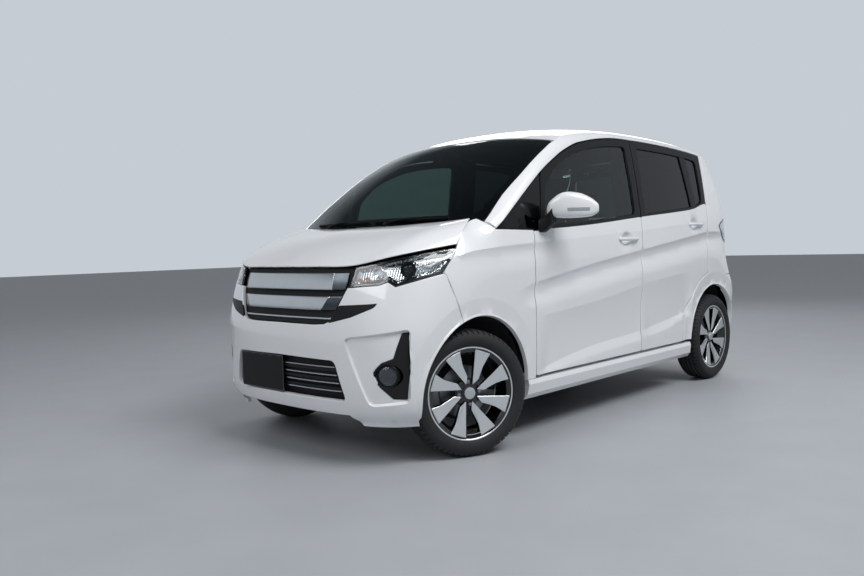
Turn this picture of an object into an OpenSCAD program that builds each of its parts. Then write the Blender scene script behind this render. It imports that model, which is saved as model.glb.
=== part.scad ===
// Small five-door tall hatchback, one frame: +X forward, +Y left, +Z up, millimetres,
// the ground at Z = 0 and the middle of the length and width at X = 0, Y = 0.

/* [Overall size] */
// Width over the wheel arches, without the mirrors
car_width = 1475; // [1465:5:1480]
// Height of the roof's crown
car_height = 1620; // [1600:5:1660]
// Distance between the axles
wheelbase = 2430; // [2420:2:2440]
// Front bumper to front axle
front_overhang = 545; // [540:1:550]
// Rear axle to rear bumper
rear_overhang = 420; // [415:1:425]

/* [Wheels] */
// Outer diameter of the tyres
tyre_diameter = 562; // [550:1:566]
// Section width of the tyres
tyre_width = 165; // [145:5:170]
// Diameter of the rims at the bead
rim_diameter = 381; // [356:25:381]
// Distance between the front wheels' middles
track_front = 1300; // [1290:2:1306]
// Distance between the rear wheels' middles
track_rear = 1290; // [1280:2:1300]
// Angle the front wheels are turned to as parked, left is positive
parked_steer = -23; // [-35:1:35]
// Radius of the wheel arches
arch_radius = 340; // [336:1:346]
// Radius of the wheel spindles
spindle_radius = 14; // [12:0.5:16]

/* [Doors and lids] */
// Length of a front door at its sill
front_door_length = 1032; // [1020:2:1040]
// Lower edge of the doors
door_bottom = 296; // [294:1:302]
// Thickness of a door at its edges and its window frame
door_edge = 40; // [36:1:42]
// Further thickness of the door's inner trim
door_pad = 45; // [30:1:50]
// Shut gap between panels
panel_gap = 6; // [5.5:0.5:7]
// Radius of the door hinge pins
hinge_pin = 4; // [3:0.5:4.5]
// Radius of the bonnet and tailgate hinge pins
lid_pin = 5; // [4:0.5:5]
// Width of the black frame round a side window
window_border = 42; // [34:1:48]

/* [Glass and trim] */
// Thickness of the window glass
glass_thickness = 4; // [3:0.5:5]
// Thickness of the bonnet, roof and bumper skins with their stiffeners
skin = 22; // [18:1:24]
// Radius of the steering wheel's rim at its middle
steering_wheel_radius = 178; // [165:1:185]
// Radius of the steering wheel's grip
steering_grip = 14; // [12:0.5:16]

/* [Hidden] */
car_length = front_overhang + wheelbase + rear_overhang;
half_w = car_width / 2;
nose_x = car_length / 2;
axle_f = nose_x - front_overhang;
axle_r = axle_f - wheelbase;
axle_z = tyre_diameter / 2;
// Wheel arches: [x, height, radius]
front_arch = [axle_f - 20, axle_z + 3, arch_radius - 5];
rear_arch = [axle_r - 2, axle_z + 10, arch_radius];
liner_r = arch_radius + 16.7;
door_front = front_arch[0] - front_arch[2] - 67;
door_mid = door_front - front_door_length - panel_gap / 2;
door_rear = axle_r + 110;
wheel_y = track_front / 2;
wheel_yr = track_rear / 2;
kingpin_y = wheel_y - 50;
rim_r = rim_diameter / 2;
bore_r = spindle_radius + 0.05;
eps = 0.4;
$fn = 48;

// Small helpers

function clamp(t, a, b) = min(b, max(a, t));
function ease(a, b, t) = let (s = clamp((t - a) / (b - a), 0, 1)) s * s * (3 - 2 * s);
function mix(a, b, s) = a + (b - a) * s;
function row_of(tab, t, i = 0) = (i >= len(tab) - 2 || t < tab[i + 1][0]) ? i : row_of(tab, t, i + 1);
function grade(tab, i, c) = let (a = max(0, i - 1), b = min(len(tab) - 1, i + 1))
    (tab[b][c] - tab[a][c]) / (tab[b][0] - tab[a][0]);
// Smooth value of column c of a table at key t
function curve(tab, t, c = 1) = let (i = row_of(tab, t), h = tab[i + 1][0] - tab[i][0],
    s = clamp((t - tab[i][0]) / h, 0, 1), s2 = s * s, s3 = s2 * s)
    tab[i][c] * (2 * s3 - 3 * s2 + 1) + h * grade(tab, i, c) * (s3 - 2 * s2 + s)
    + tab[i + 1][c] * (3 * s2 - 2 * s3) + h * grade(tab, i + 1, c) * (s3 - s2);
function steps(a, b, n) = [for (i = [0 : n]) mix(a, b, i / n)];

// The tables and outlines below are drawn for the car as listed; its driving sizes stretch them.
// Place from the front axle of a drawn place, and back
nose_share = front_overhang / 545;
base_share = wheelbase / 2430;
tail_share = rear_overhang / 420;
width_share = car_width / 1475;
function at(u) = u > 0 ? u * nose_share : u > -2430 ? u * base_share : (u + 2430) * tail_share - wheelbase;
function drawn(x) = x > 0 ? x / nose_share : x > -wheelbase ? x / base_share : (x + wheelbase) / tail_share - 2430;
// Height of a drawn height, and back: what lies above the door's lower edge stretches with the roof
roof_share = (car_height - door_bottom) / 1324;
function up(z) = z > 296 ? door_bottom + (z - 296) * roof_share : z * door_bottom / 296;
function down(z) = z > door_bottom ? 296 + (z - door_bottom) / roof_share : z * 296 / door_bottom;
// Outlines drawn in X from the front axle and Z, in the car's own X and Z, and in Y and Z
function side_drawn(p) = [for (q = p) [axle_f + at(q[0]), up(q[1])]];
function car_drawn(p) = [for (q = p) [axle_f + at(q[0] - 1152.5), up(q[1])]];
function end_drawn(p) = [for (q = p) [q[0] * width_share, up(q[1])]];

// Body form
// Lines along the side: [x from the front axle, height]
SHOULDER = [[-2852, 1078], [-2317, 1050], [-1457, 990], [-621, 944], [-397, 932], [-6, 907], [146, 877], [548, 820]];
MID_CREASE = [[-2315, 976], [-1453, 877], [-888, 811], [-414, 742], [-242, 703]];
LOW_CREASE = [[-1950, 724], [-1447, 679], [-980, 623], [-341, 572]];
SILL_CREASE = [[-1972, 468], [-1453, 412], [-886, 378], [-438, 313]];
BELT = [[-2333, 1165], [-2200, 1140], [-2135, 1121], [-1472, 1067], [-1388, 1060], [-872, 1018], [-418, 997], [-150, 1004]];
// Drop inside the widest plane: [height, inset]
INSET = [[190, 44], [215, 28], [260, 16], [330, 11], [480, 8], [650, 6.5], [800, 6], [1080, 6.5]];
// Middle of the nose and of the tail: [height, distance behind the bumper's tip, fullness]
NOSE = [[190, 62, 11], [215, 30, 11], [300, 8, 11], [420, 0.3, 11], [560, 6, 11], [700, 28, 9.8],
    [800, 50, 8.6], [870, 70, 7.8], [930, 98, 7]];
TAIL = [[190, 58, 32], [260, 18, 32], [420, 0.8, 32], [600, 6, 32], [690, 24, 23], [800, 42, 17], [950, 58, 16],
    [1100, 86, 16], [1300, 142, 16], [1500, 220, 16], [1560, 258, 16]];
CORNER = 2.5;
nose_from = axle_f + at(-852);
tail_from = axle_f + at(-1753);

function line(tab, x) = up(curve(tab, drawn(x - axle_f)));
function nose_at(z) = nose_x - curve(NOSE, down(z)) * nose_share;
function tail_at(z) = -nose_x + curve(TAIL, down(z)) * tail_share;
function nose_full(z) = curve(NOSE, down(z), 2);
function tail_full(z) = curve(TAIL, down(z), 2);
function form_y(x, z) = let (u = drawn(x - axle_f), h = down(z), d = max(0, h - curve(SHOULDER, u)),
    k = 0.10 + 0.44 * ease(-202, -2, u))
    d <= 0 ? half_w - curve(INSET, h)
    : half_w - 6.3 - k * d - 0.000105 * d * d - 0.0075 * pow(max(0, h - 980), 2) * ease(-202, -102, u);
function nose_plan(x, z) = let (f = clamp((x - nose_from) / (nose_at(z) - nose_from), 0, 1))
    pow(1 - pow(f, nose_full(z)), 1 / CORNER);
function tail_plan(x, z) = let (f = clamp((tail_from - x) / (tail_from - tail_at(z)), 0, 1))
    pow(1 - pow(f, tail_full(z)), 1 / CORNER);
function undercut(s) = s <= 0 || s >= 1 ? 0 : 6.75 * s * (1 - s) * (1 - s);
function flare(x, z, a) = 1 - ease(a[2] + 2, a[2] + 75, norm([x - a[0], z - a[1]]));
function low_relief(x, z) = let (zl = line(LOW_CREASE, x), zs = line(SILL_CREASE, x))
    z >= zl ? 0 : z >= zs ? -ease(0, 1, (zl - z) / (zl - zs)) : -(1 - ease(0, 1, (zs - z) / (zs - door_bottom + 6)));
function relief(x, z) = let (u = drawn(x - axle_f))
    -7 * undercut((line(MID_CREASE, x) - z) / 130) * (1 - ease(-500, -242, u)) * ease(-2650, -2400, u)
    + 11 * low_relief(x, z) * ease(-1985, -1850, u) * (1 - ease(-560, -350, u))
    - 4 * undercut((line(SHOULDER, x) - z) / 90) * ease(-620, -350, u) * (1 - ease(100, 200, u))
    + 6 * max(flare(x, z, front_arch), flare(x, z, rear_arch));
// Half width of the body at station x and height z
function side_y(x, z) = form_y(x, z) * nose_plan(x, z) * tail_plan(x, z) + relief(x, z);
// Points round the nose and the tail, t = 0 on the left side to 180 on the right
function bow(t, p) = let (c = cos(t)) (c < 0 ? -1 : 1) * pow(abs(c), p);
function nose_pt(t, z, d = 0) = let (x = nose_from + (nose_at(z) - d - nose_from) * pow(sin(t), 2 / nose_full(z)))
    [x, (form_y(x, z) - d) * bow(t, 2 / CORNER), z];
function tail_pt(t, z, d = 0) = let (x = tail_from + (tail_at(z) + d - tail_from) * pow(sin(t), 2 / tail_full(z)))
    [x, (form_y(x, z) - d) * bow(t, 2 / CORNER), z];

// Roof side: [x from the front axle of the lower line, its drop from the crown,
//             x of the upper line, its half width inset, its drop]
RAIL = [[-2588, 170, -2600, 212, 108], [-2549, 167, -2560, 208.5, 103.4], [-2450, 160, -2460, 200, 92], [-2357, 146, -2380, 197, 80],
    [-2168, 129, -2172, 192, 63], [-1854, 114, -1854, 187, 45], [-1489, 109, -1489, 184, 38],
    [-1212, 118, -1202, 182, 38], [-913, 166, -882, 175, 64], [-778, 213, -735, 167, 103.4], [-713, 242, -662, 162, 134],
    [-533, 342, -452, 145, 268], [-332, 482, -272, 129, 412], [-152, 617, -101, 103, 560]];
// Crown of the roof and the windscreen: [x from the front axle, rise at the middle, push forward at the middle]
CROWN = [[-2600, 22, 0], [-2200, 32, 0], [-1500, 36, 0], [-900, 34, 0], [-600, 30, 22], [-400, 24, 48], [-100, -18, 84]];
function rail_low(x) = car_height - curve(RAIL, drawn(x - axle_f), 1) * roof_share;
function rail_a(r) = let (x = axle_f + at(r[0]), z = car_height - r[1] * roof_share) [x, side_y(x, z), z];
function rail_b(r) = [axle_f + at(r[2]), half_w - r[3], car_height - r[4] * roof_share];

// Closed solid between an outer and an inner grid of points
module sheet(outer, inner) {
    rows = len(outer);
    cols = len(outer[0]);
    n = rows * cols;
    pts = [for (g = [outer, inner]) for (r = g) for (p = r) p];
    skin_faces = [for (i = [0 : rows - 2]) for (j = [0 : cols - 2]) for (k = [0, 1])
        let (a = i * cols + j, b = a + 1, c = a + cols + 1, d = a + cols) k == 0 ? [a, b, c] : [a, c, d]];
    back_faces = [for (f = skin_faces) [f[2] + n, f[1] + n, f[0] + n]];
    rim = concat([for (j = [0 : cols - 1]) j], [for (i = [1 : rows - 1]) i * cols + cols - 1],
        [for (j = [cols - 2 : -1 : 0]) (rows - 1) * cols + j], [for (i = [rows - 2 : -1 : 1]) i * cols]);
    m = len(rim);
    rim_faces = [for (i = [0 : m - 1]) for (k = [0, 1]) let (a = rim[i], b = rim[(i + 1) % m])
        k == 0 ? [b, a, a + n] : [b, a + n, b + n]];
    polyhedron(points = pts, faces = concat(skin_faces, back_faces, rim_faces));
}

// Prism through the side of the car from an outline in X and Z
module through_side(outline, depth = 320) {
    translate([0, half_w + 40, 0])
        rotate([90, 0, 0])
            linear_extrude(height = depth)
                polygon(outline);
}

// Prism along X from an outline in Y and Z
module through_end(outline, x0, x1) {
    translate([x0, 0, 0])
        rotate([90, 0, 90])
            linear_extrude(height = x1 - x0)
                polygon(outline);
}

module arch_cut(a, y0 = 380) {
    translate([a[0], y0, a[1]])
        rotate([-90, 0, 0])
            cylinder(r = a[2], h = 500);
}
// Room for the liners in the underbody
function liner_cut(ax) = [ax, axle_z, liner_r + 0.3];

module both_sides() {
    children();
    mirror([0, 1, 0])
        children();
}

// Underbody

module floor_pan() {
    color("dimgray")
        difference() {
            rotate([90, 0, 0])
                linear_extrude(height = 1199, center = true)
                    polygon(side_drawn([[-290, 470], [-412, 225], [-1580.5, 225], [-1650.5, 355], [-2752.5, 372],
                        [-2752.5, 350], [-1642.5, 333], [-1584.5, 205], [-400, 205], [-272, 462]]));
            both_sides() {
                arch_cut(liner_cut(axle_f), 400);
                arch_cut(liner_cut(axle_r), 490);
            }
        }
}

module bulkhead() {
    color("gray")
        difference() {
            union() {
                rotate([90, 0, 0])
                    linear_extrude(height = 1199, center = true)
                        polygon(side_drawn([[-290, 470.4], [-272, 462.4], [-240, 940], [-40, 968], [-40, 988], [-262, 960]]));
                both_sides() {
                    translate([bonnet_axis[0] - 14, 552, up(970)])
                        cube([28, 10, bonnet_axis[1] - up(970) + 10]);
                    translate([bonnet_axis[0], 514, bonnet_axis[1]])
                        rotate([-90, 0, 0])
                            cylinder(r = lid_pin, h = 42);
                }
            }
            both_sides()
                arch_cut(liner_cut(axle_f), 400);
        }
}

// Sill beam with its skirt, section in Y and Z
module sills() {
    color("white")
        both_sides()
            difference() {
                through_end([[600, 205], [600, 308], [656, 308], [656, 284], [half_w - 17, 284],
                    [half_w - 11, 262], [half_w - 20, 215], [half_w - 40, 190], [630, 190]],
                    axle_r + arch_radius - 15, axle_f - arch_radius + 15);
                arch_cut(liner_cut(axle_f), 400);
                arch_cut(liner_cut(axle_r), 400);
            }
}

// Posts inside the doors: [front edge, rear edge, foot, knee, head, set in of the head, depth of the head]
post_y = half_w - 75.5;
POSTS = [[door_front + 62, door_front - 78, 308.3, up(800), up(960), 0, 56],
    [door_mid + 62, door_mid - 72, 308.3, up(990), car_height - 112.4 * roof_share, 72, 40]];
module pillars() {
    color("gray")
        both_sides()
            for (p = POSTS) {
                rows = [[p[2], post_y, 56], [p[3], post_y, 56], [p[4], post_y - p[5], p[6]]];
                sheet([for (r = rows) [for (x = [p[1], p[0]]) [x, r[1], r[0]]]],
                    [for (r = rows) [for (x = [p[1], p[0]]) [x, r[1] - r[2], r[0]]]]);
            }
}

// Door hinges: [door's front edge, heights]
HINGES = [[door_front, [up(430), up(820)]], [door_mid - panel_gap / 2, [up(430), up(880)]]];
hinge_back = 30;
hinge_in = 8;
hinge_half = 32;
function hinge_x(h) = h[0] - hinge_back;
function hinge_y(h) = min([for (z = h[1]) for (e = [-45, 0, 45]) side_y(hinge_x(h), z + e)]) - hinge_in;
module door_hinges() {
    color("silver")
        both_sides()
            for (h = HINGES)
                for (z = h[1])
                    union() {
                        translate([hinge_x(h), hinge_y(h), z - hinge_half - 10])
                            cylinder(r = hinge_pin, h = 2 * hinge_half + 20);
                        translate([hinge_x(h) - 4, post_y + 0.3, z - 24])
                            cube([8, hinge_y(h) - post_y - 0.3, 48]);
                    }
}
module hinge_pockets(h) {
    for (z = h[1]) {
        translate([hinge_x(h) - 9, hinge_y(h) - 120, z - hinge_half])
            cube([60, 120 + hinge_pin + 1, 2 * hinge_half]);
        translate([hinge_x(h), hinge_y(h), z - hinge_half - 14])
            cylinder(r = hinge_pin + 0.05, h = 2 * hinge_half + 28);
    }
}

// Windscreen pillar and roof rail, one band from the scuttle to the tailgate
module cant_rails() {
    color("white")
        both_sides()
            sheet([for (s = [0, 0.35, 0.7, 1]) [for (r = RAIL) rail_at(r, s, 0)]],
                [for (s = [0, 0.35, 0.7, 1]) [for (r = RAIL) rail_at(r, s, 1)]]);
}
// Point across the band, d = 1 on its inner side
function rail_at(r, s, d) = mix(rail_a(r), rail_b(r), s) + 14 * 4 * s * (1 - s) * [0, 0.72, 0.69]
    - d * [0, rail_width * (1 - s), rail_depth * s * (1 - 0.7 * ease(-300, -150, r[2]))];
rail_width = 66;
rail_depth = 30;

// Rear quarter, from the rear door round to the tailgate
function tail_edge(z) = 36 + 8 * ease(1250, 1480, down(z));
quarter_r = arch_radius + 100;
quarter_knee = axle_z + sqrt(pow(quarter_r, 2) - pow(door_rear - panel_gap - axle_r, 2));
function quarter_start(z) = z >= quarter_knee ? door_rear - panel_gap
    : axle_r + sqrt(pow(quarter_r, 2) - pow(z - axle_z, 2));
function quarter_pt(q, z, d = 0) = let (x0 = quarter_start(z), t1 = 12, x1 = tail_pt(t1, z)[0])
    q <= 1 ? let (x = mix(x0, x1, q)) [x, side_y(x, z) - d, z]
    : tail_pt(mix(t1, tail_edge(z), q - 1), z, d) + [0, relief(x1, z) * (2 - q), 0];
module quarter_panels() {
    zs = concat(steps(door_bottom + 2, quarter_knee, 6), steps(quarter_knee + 75, up(880), 1), steps(up(960), car_height - 138 * roof_share, 6));
    qs = [0, 0.25, 0.5, 0.75, 1, 1.3, 1.65, 2];
    color("white")
        both_sides()
            difference() {
                sheet([for (z = zs) [for (q = [len(qs) - 1 : -1 : 0]) quarter_pt(qs[q], z)]],
                    [for (z = zs) [for (q = [len(qs) - 1 : -1 : 0]) quarter_pt(qs[q], z, 40)]]);
                arch_cut(rear_arch);
                translate([axle_r - 700, 300, 100])
                    cube([530, 600, up(690) - 100]);
                through_end(LAMP_REAR, -nose_x - 10, axle_r - 180);
                translate([axle_r - 1000, 0, 0])
                    rotate([90, 0, 0])
                        translate([0, 0, -900])
                            linear_extrude(height = 900)
                                polygon(concat([for (r = RAIL) if (r[0] < -2100) [at(r[0]) - axle_r + axle_f + 1000,
                                    car_height - r[1] * roof_share - eps]],
                                    [[600, car_height + 180], [-700, car_height + 180], [-700, car_height - 168 * roof_share]]));
            }
}
LAMP_REAR = end_drawn([[590, 860], [760, 860], [760, 1130], [590, 1130]]);
module tail_lamps() {
    zs = steps(up(860) + eps, up(1130) - eps, 5);
    ts = steps(5, tail_edge(up(900)), 6);
    color("darkred")
        both_sides()
            intersection() {
                sheet([for (z = zs) [for (i = [6 : -1 : 0]) tail_pt(ts[i], z)]],
                    [for (z = zs) [for (i = [6 : -1 : 0]) tail_pt(ts[i], z, 38)]]);
                translate([-nose_x - 10, 590 * width_share + eps, up(800)])
                    cube([axle_r - 180 - eps + nose_x + 10, 200, 400]);
            }
}

// Front wing, outline in X and Z from the front axle
WING = [[-416, 284.4], [-416, 994], [-148, 999], [-97, 1048], [-80, 1043], [-20, 1019], [72, 922], [186, 816], [176, 805],
    [141, 710], [100, 615], [100, 284.4]];
module front_fenders() {
    xs = steps(door_front + panel_gap, axle_f + at(192), 8);
    color("white")
        both_sides()
            difference() {
                intersection() {
                    sheet([for (i = [0 : 13]) [for (x = xs) let (z = wing_rows(x)[i]) [x, side_y(x, z), z]]],
                        [for (i = [0 : 13]) [for (x = xs) let (z = wing_rows(x)[i]) [x, side_y(x, z) - skin, z]]]);
                    through_side([for (p = side_drawn(WING)) [max(p[0], door_front + panel_gap), p[1]]]);
                }
                arch_cut(front_arch);
                edge_wedge(door_front + panel_gap);
                translate([axle_f - 120, 540, up(1000)])
                    cube([70, 632 - 540, 80]);
            }
}
function wing_rows(x) = let (zm = line(MID_CREASE, x), zs = line(SHOULDER, x))
    concat(steps(280, mix(280, zm, 0.86), 5), [zm, mix(zm, zs, 0.45), zs - 30, zs], steps(zs + 30, up(1064), 3));

module wheel_liners() {
    color("#202020")
        both_sides()
            for (a = [[axle_f, 402, 700], [axle_r, 492, 690]])
                difference() {
                    translate([a[0], a[1], axle_z])
                        rotate([-90, 0, 0])
                            cylinder(r = liner_r, h = a[2] - a[1]);
                    translate([a[0], a[1] + 4, axle_z])
                        rotate([-90, 0, 0])
                            cylinder(r = liner_r - 6.7, h = 400);
                    translate([a[0] - 500, 300, -300])
                        cube([1000, 600, 300 + axle_z - 40]);
                    linear_extrude(height = 900)
                        polygon(concat([[3000, 200], [3000, 900], [-3000, 900], [-3000, 200]],
                            [for (t = [68 : -4 : 4]) let (p = tail_pt(t, 250, 62)) [p[0], p[1]]],
                            [for (t = [4 : 4 : 68]) let (p = nose_pt(t, 230, skin + 10)) [p[0], p[1]]]));
                    translate([axle_r, 480, axle_z])
                        rotate([-90, 0, 0])
                            cylinder(r = 70, h = 30);
                }
}

// Roof and screen span the two roof rails
function span_pt(r, s, d) = let (b = rail_b(r), y = b[1] - 0.8, c = 1 - pow(abs(s), 2.2), u = r[2])
    [b[0] + curve(CROWN, u, 2) * c, y * s, b[2] + curve(CROWN, u, 1) * c] - d * [screen_lean(u), 0, sqrt(1 - pow(screen_lean(u), 2))];
function screen_lean(u) = 0.62 * ease(-1000, -600, u);
module roof_panel() {
    rows = [for (r = RAIL) if (r[2] >= -2560 && r[2] <= -735) r];
    color("white")
        sheet([for (r = rows) [for (s = steps(-1, 1, 8)) span_pt(r, s, 0)]],
            [for (r = rows) [for (s = steps(-1, 1, 8)) span_pt(r, s, skin)]]);
}
function rail_row(u) = [for (c = [0 : 4]) c == 2 ? u : curve([for (r = RAIL) [r[2], r[0], r[2], r[3], r[4]]], u, c == 0 ? 1 : c)];
// The same, on the straight between two rows of the table
function chord_row(u) = let (t = [for (r = RAIL) [r[2], r[0], r[2], r[3], r[4]]], i = row_of(t, u),
    m = mix(t[i], t[i + 1], (u - t[i][0]) / (t[i + 1][0] - t[i][0]))) [m[1], 0, u, m[3], m[4]];
module windscreen() {
    rows = [for (u = [-728, -662, -557, -452, -362, -272, -186, -106]) chord_row(u)];
    color("lightblue", 0.5)
        sheet([for (r = rows) [for (s = steps(-1, 1, 8)) span_pt(r, s, 3)]],
            [for (r = rows) [for (s = steps(-1, 1, 8)) span_pt(r, s, 3 + 5)]]);
}

// Side glass: [offset inside the skin, thickness]
glass_set = 9;
module side_pane(outline, x0, x1, z0, z1, set = glass_set) {
    xs = steps(x0, x1, 4);
    zs = steps(z0, z1, 5);
    intersection() {
        sheet([for (z = zs) [for (x = xs) [x, side_y(x, z) - set, z]]],
            [for (z = zs) [for (x = xs) [x, side_y(x, z) - set - glass_thickness, z]]]);
        through_side(outline);
    }
}
function pillar_bar(z) = axle_f + at(-mix(478, 530, (down(z) - 1003) / 260));
function bar_edge(z, d) = [pillar_bar(up(z)) + d, up(z)];
PANE = concat(side_drawn([[-158, 1001]]), [bar_edge(1001, 3), bar_edge(1264, 3)],
    side_drawn([[-518, 1266.8], [-332, 1137.3], [-156, 1005.3]]));
module quarter_panes() {
    color("lightblue", 0.5)
        both_sides()
            side_pane(PANE, axle_f + at(-545), axle_f + at(-150), up(996), up(1275), 4);
}

// Doors: outlines in X and Z
function rail_edge(x, d) = [x, rail_low(x) - d];
function belt_edge(u) = let (x = axle_f + at(u)) [x, line(BELT, x) + 16];
FRONT_DOOR = concat([[door_front, door_bottom], [door_front, up(990)], bar_edge(990, -3), bar_edge(1240, -3)],
    [for (u = [-545, -640, -713, -810, -913, -1010, -1100, -1212, -1320]) rail_edge(axle_f + at(u), panel_gap)],
    [rail_edge(door_mid + panel_gap / 2, panel_gap), [door_mid + panel_gap / 2, door_bottom]]);
function arc_pts(r, a0, a1, n) = [for (i = [0 : n]) let (a = mix(a0, a1, i / n)) [axle_r + r * cos(a), axle_z + r * sin(a)]];
arc_r = quarter_r + panel_gap;
REAR_DOOR = concat([[door_mid - panel_gap / 2, door_bottom], rail_edge(door_mid - panel_gap / 2, panel_gap)],
    [for (u = [-1600, -1854, -2000, -2168, -2260]) rail_edge(axle_f + at(u), panel_gap)],
    [rail_edge(door_rear, panel_gap)],
    arc_pts(arc_r, acos((door_rear - axle_r) / arc_r), asin((door_bottom - axle_z) / arc_r), 8));
FRONT_WINDOW = concat([[pillar_bar(up(1015)) - 3 - window_border * 0.8, belt_edge(-478)[1]],
    [pillar_bar(up(1230)) - 3 - window_border * 0.8, up(1212)]],
    [for (u = [-640, -713, -810, -913, -1010, -1100, -1212, -1320]) rail_edge(axle_f + at(u), panel_gap + window_border)],
    [rail_edge(door_mid + 68, panel_gap + window_border), [door_mid + 60, line(BELT, door_mid) + 16], belt_edge(-872)]);
REAR_WINDOW = concat([[door_mid - 60, line(BELT, door_mid) + 16], rail_edge(door_mid - 66, panel_gap + window_border)],
    [for (u = [-1600, -1854, -2000, -2168]) rail_edge(axle_f + at(u), panel_gap + window_border)],
    [rail_edge(door_rear + 62, panel_gap + window_border + 4), [door_rear + 50, up(1200)], [door_rear + 60, up(1165)],
        belt_edge(-2135), belt_edge(-1800)]);
// Bar between the rear door's sliding pane and its small fixed one
bar_half = 37;
function division(half) = side_drawn([[-2068 + half, 1530], [-2068 - half, 1530], [-2160 - half, 1080], [-2160 + half, 1080]]);
function door_rows(x) = let (a = line(SILL_CREASE, x), b = line(LOW_CREASE, x), c = line(MID_CREASE, x), s = line(SHOULDER, x))
    concat([door_bottom - 8, a, mix(a, b, 0.5), b, mix(b, c, 0.45), c - 43, c, mix(c, s, 0.5), s, s + 45],
        steps(s + 110 * roof_share, car_height - 104 * roof_share, 4));
function door_depth(x, z, x0, x1) = door_edge + door_pad
    * ease(120, 160, x - x0) * ease(120, 160, x1 - x) * ease(door_bottom + 40, door_bottom + 90, z)
    * (1 - ease(line(BELT, x) - 70, line(BELT, x) - 20, z));
module door_skin(x0, x1) {
    xs = concat([x0, x0 + 118], steps(x0 + 165, x1 - 165, 5), [x1 - 118, x1]);
    n = len(door_rows(0));
    sheet([for (i = [0 : n - 1]) [for (x = xs) let (z = door_rows(x)[i]) [x, side_y(x, z), z]]],
        [for (i = [0 : n - 1]) [for (x = xs) let (z = door_rows(x)[i]) [x, side_y(x, z) - door_depth(x, z, x0, x1), z]]]);
}
// Wedge that leans an edge away from the door swinging behind it
edge_lean = 0.27;
module edge_wedge(x) {
    translate([x, half_w - 8, 200])
        linear_extrude(height = up(1020) - 200)
            polygon([[-30, 0], [0, 0], [100 * edge_lean, -100], [-30, -100]]);
}
// Pull handles: [middle from the front axle, height, length]
HANDLES = [[-1298, 942, 206], [-2148, 1026, 188]];
cup_r = 44;
cup_depth = 14;
function skin_at(h, dx) = let (x = axle_f + at(h[0]) + dx, z = up(h[1])) [x, side_y(x, z), z];
module handle_cup(h) {
    translate(skin_at(h, h[2] * 0.1) - [0, cup_depth, 0])
        rotate([-90, 0, 0])
            cylinder(r = cup_r, h = 60);
}
module handle(h) {
    c = skin_at(h, 0);
    union() {
        translate(c + [-h[2] / 2, 6, -11])
            cube([h[2], 16, 22]);
        for (e = [-1, 1])
            let (f = skin_at(h, e * (h[2] / 2 - 16)))
                translate([f[0] - 14, f[1] - 3, f[2] - 9])
                    cube([28, c[1] + 10 - f[1] + 3, 18]);
    }
}
module front_door() {
    color("white")
        union() {
            handle(HANDLES[0]);
            difference() {
                intersection() {
                    door_skin(door_mid, door_front + 3);
                    through_side(FRONT_DOOR);
                }
                edge_wedge(door_mid + panel_gap / 2);
                through_side(FRONT_WINDOW);
                hinge_pockets(HINGES[0]);
                handle_cup(HANDLES[0]);
            }
        }
}
module rear_door() {
    color("white")
        union() {
            handle(HANDLES[1]);
            difference() {
                intersection() {
                    door_skin(door_rear - 4, door_mid);
                    through_side(REAR_DOOR);
                }
                difference() {
                    through_side(REAR_WINDOW);
                    through_side(division(bar_half));
                }
                hinge_pockets(HINGES[1]);
                handle_cup(HANDLES[1]);
            }
        }
}
module front_door_left() { front_door(); }
module front_door_right() { mirror([0, 1, 0]) front_door(); }
module rear_door_left() { rear_door(); }
module rear_door_right() { mirror([0, 1, 0]) rear_door(); }
module front_glass() {
    color("lightblue", 0.5)
        side_pane(shrunk(FRONT_WINDOW), door_mid, axle_f + at(-470), up(1000), car_height - 110 * roof_share);
}
module rear_glass() {
    color("lightblue", 0.5)
        difference() {
            side_pane(shrunk(REAR_WINDOW), door_rear - 4, door_mid, up(1040), car_height - 110 * roof_share);
            through_side(division(bar_half + 0.3));
        }
}
function middle(p) = [for (k = [0, 1]) (max([for (q = p) q[k]]) + min([for (q = p) q[k]])) / 2];
function shrunk(p) = let (c = middle(p)) [for (q = p) q - [for (k = [0, 1]) 0.3 * sign(q[k] - c[k])]];
module front_glass_left() { front_glass(); }
module front_glass_right() { mirror([0, 1, 0]) front_glass(); }
module rear_glass_left() { rear_glass(); }
module rear_glass_right() { mirror([0, 1, 0]) rear_glass(); }

// Mirror: sections out from the door: [reach, x front, x rear, bottom, top]
mirror_x = door_front - 60;
mirror_z = up(1018);
MIRROR = [[34, 2, -112, 42, 98], [50, 8, -124, 33, 120], [98, -8, -130, 29, 152], [150, -42, -138, 29, 148],
    [200, -88, -146, 34, 122], [226, -122, -150, 48, 96]];
function mirror_ring(r, n) = [for (i = [0 : n]) let (a = 360 * i / n)
    [mirror_x + (r[1] + r[2]) / 2 + (r[1] - r[2]) / 2 * bow(a, 0.75), side_y(mirror_x, mirror_z) + r[0],
        mirror_z + (r[3] + r[4]) / 2 + (r[4] - r[3]) / 2 * bow(a - 90, 0.75)]];
module mirror_body() {
    y0 = side_y(mirror_x, mirror_z);
    color("white")
        union() {
            loft([for (r = MIRROR) [for (i = [0 : 13]) mirror_ring(r, 14)[i]]]);
            translate([mirror_x - 16, side_y(mirror_x - 20, mirror_z - 30) + 0.5, mirror_z - 34])
                cube([34, 62, 76]);
        }
}
// Closed solid through rings of points
module loft(rings) {
    m = len(rings[0]);
    n = len(rings);
    pts = [for (r = rings) for (p = r) p];
    walls = [for (i = [0 : n - 2]) for (j = [0 : m - 1]) for (k = [0, 1]) let (a = i * m + j, b = i * m + (j + 1) % m)
        k == 0 ? [a, b, b + m] : [a, b + m, a + m]];
    polyhedron(points = pts, faces = concat(walls, [[for (j = [m - 1 : -1 : 0]) j]], [[for (j = [0 : m - 1]) (n - 1) * m + j]]));
}
module mirror_left() { mirror_body(); }
module mirror_right() { mirror([0, 1, 0]) mirror_body(); }

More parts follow.
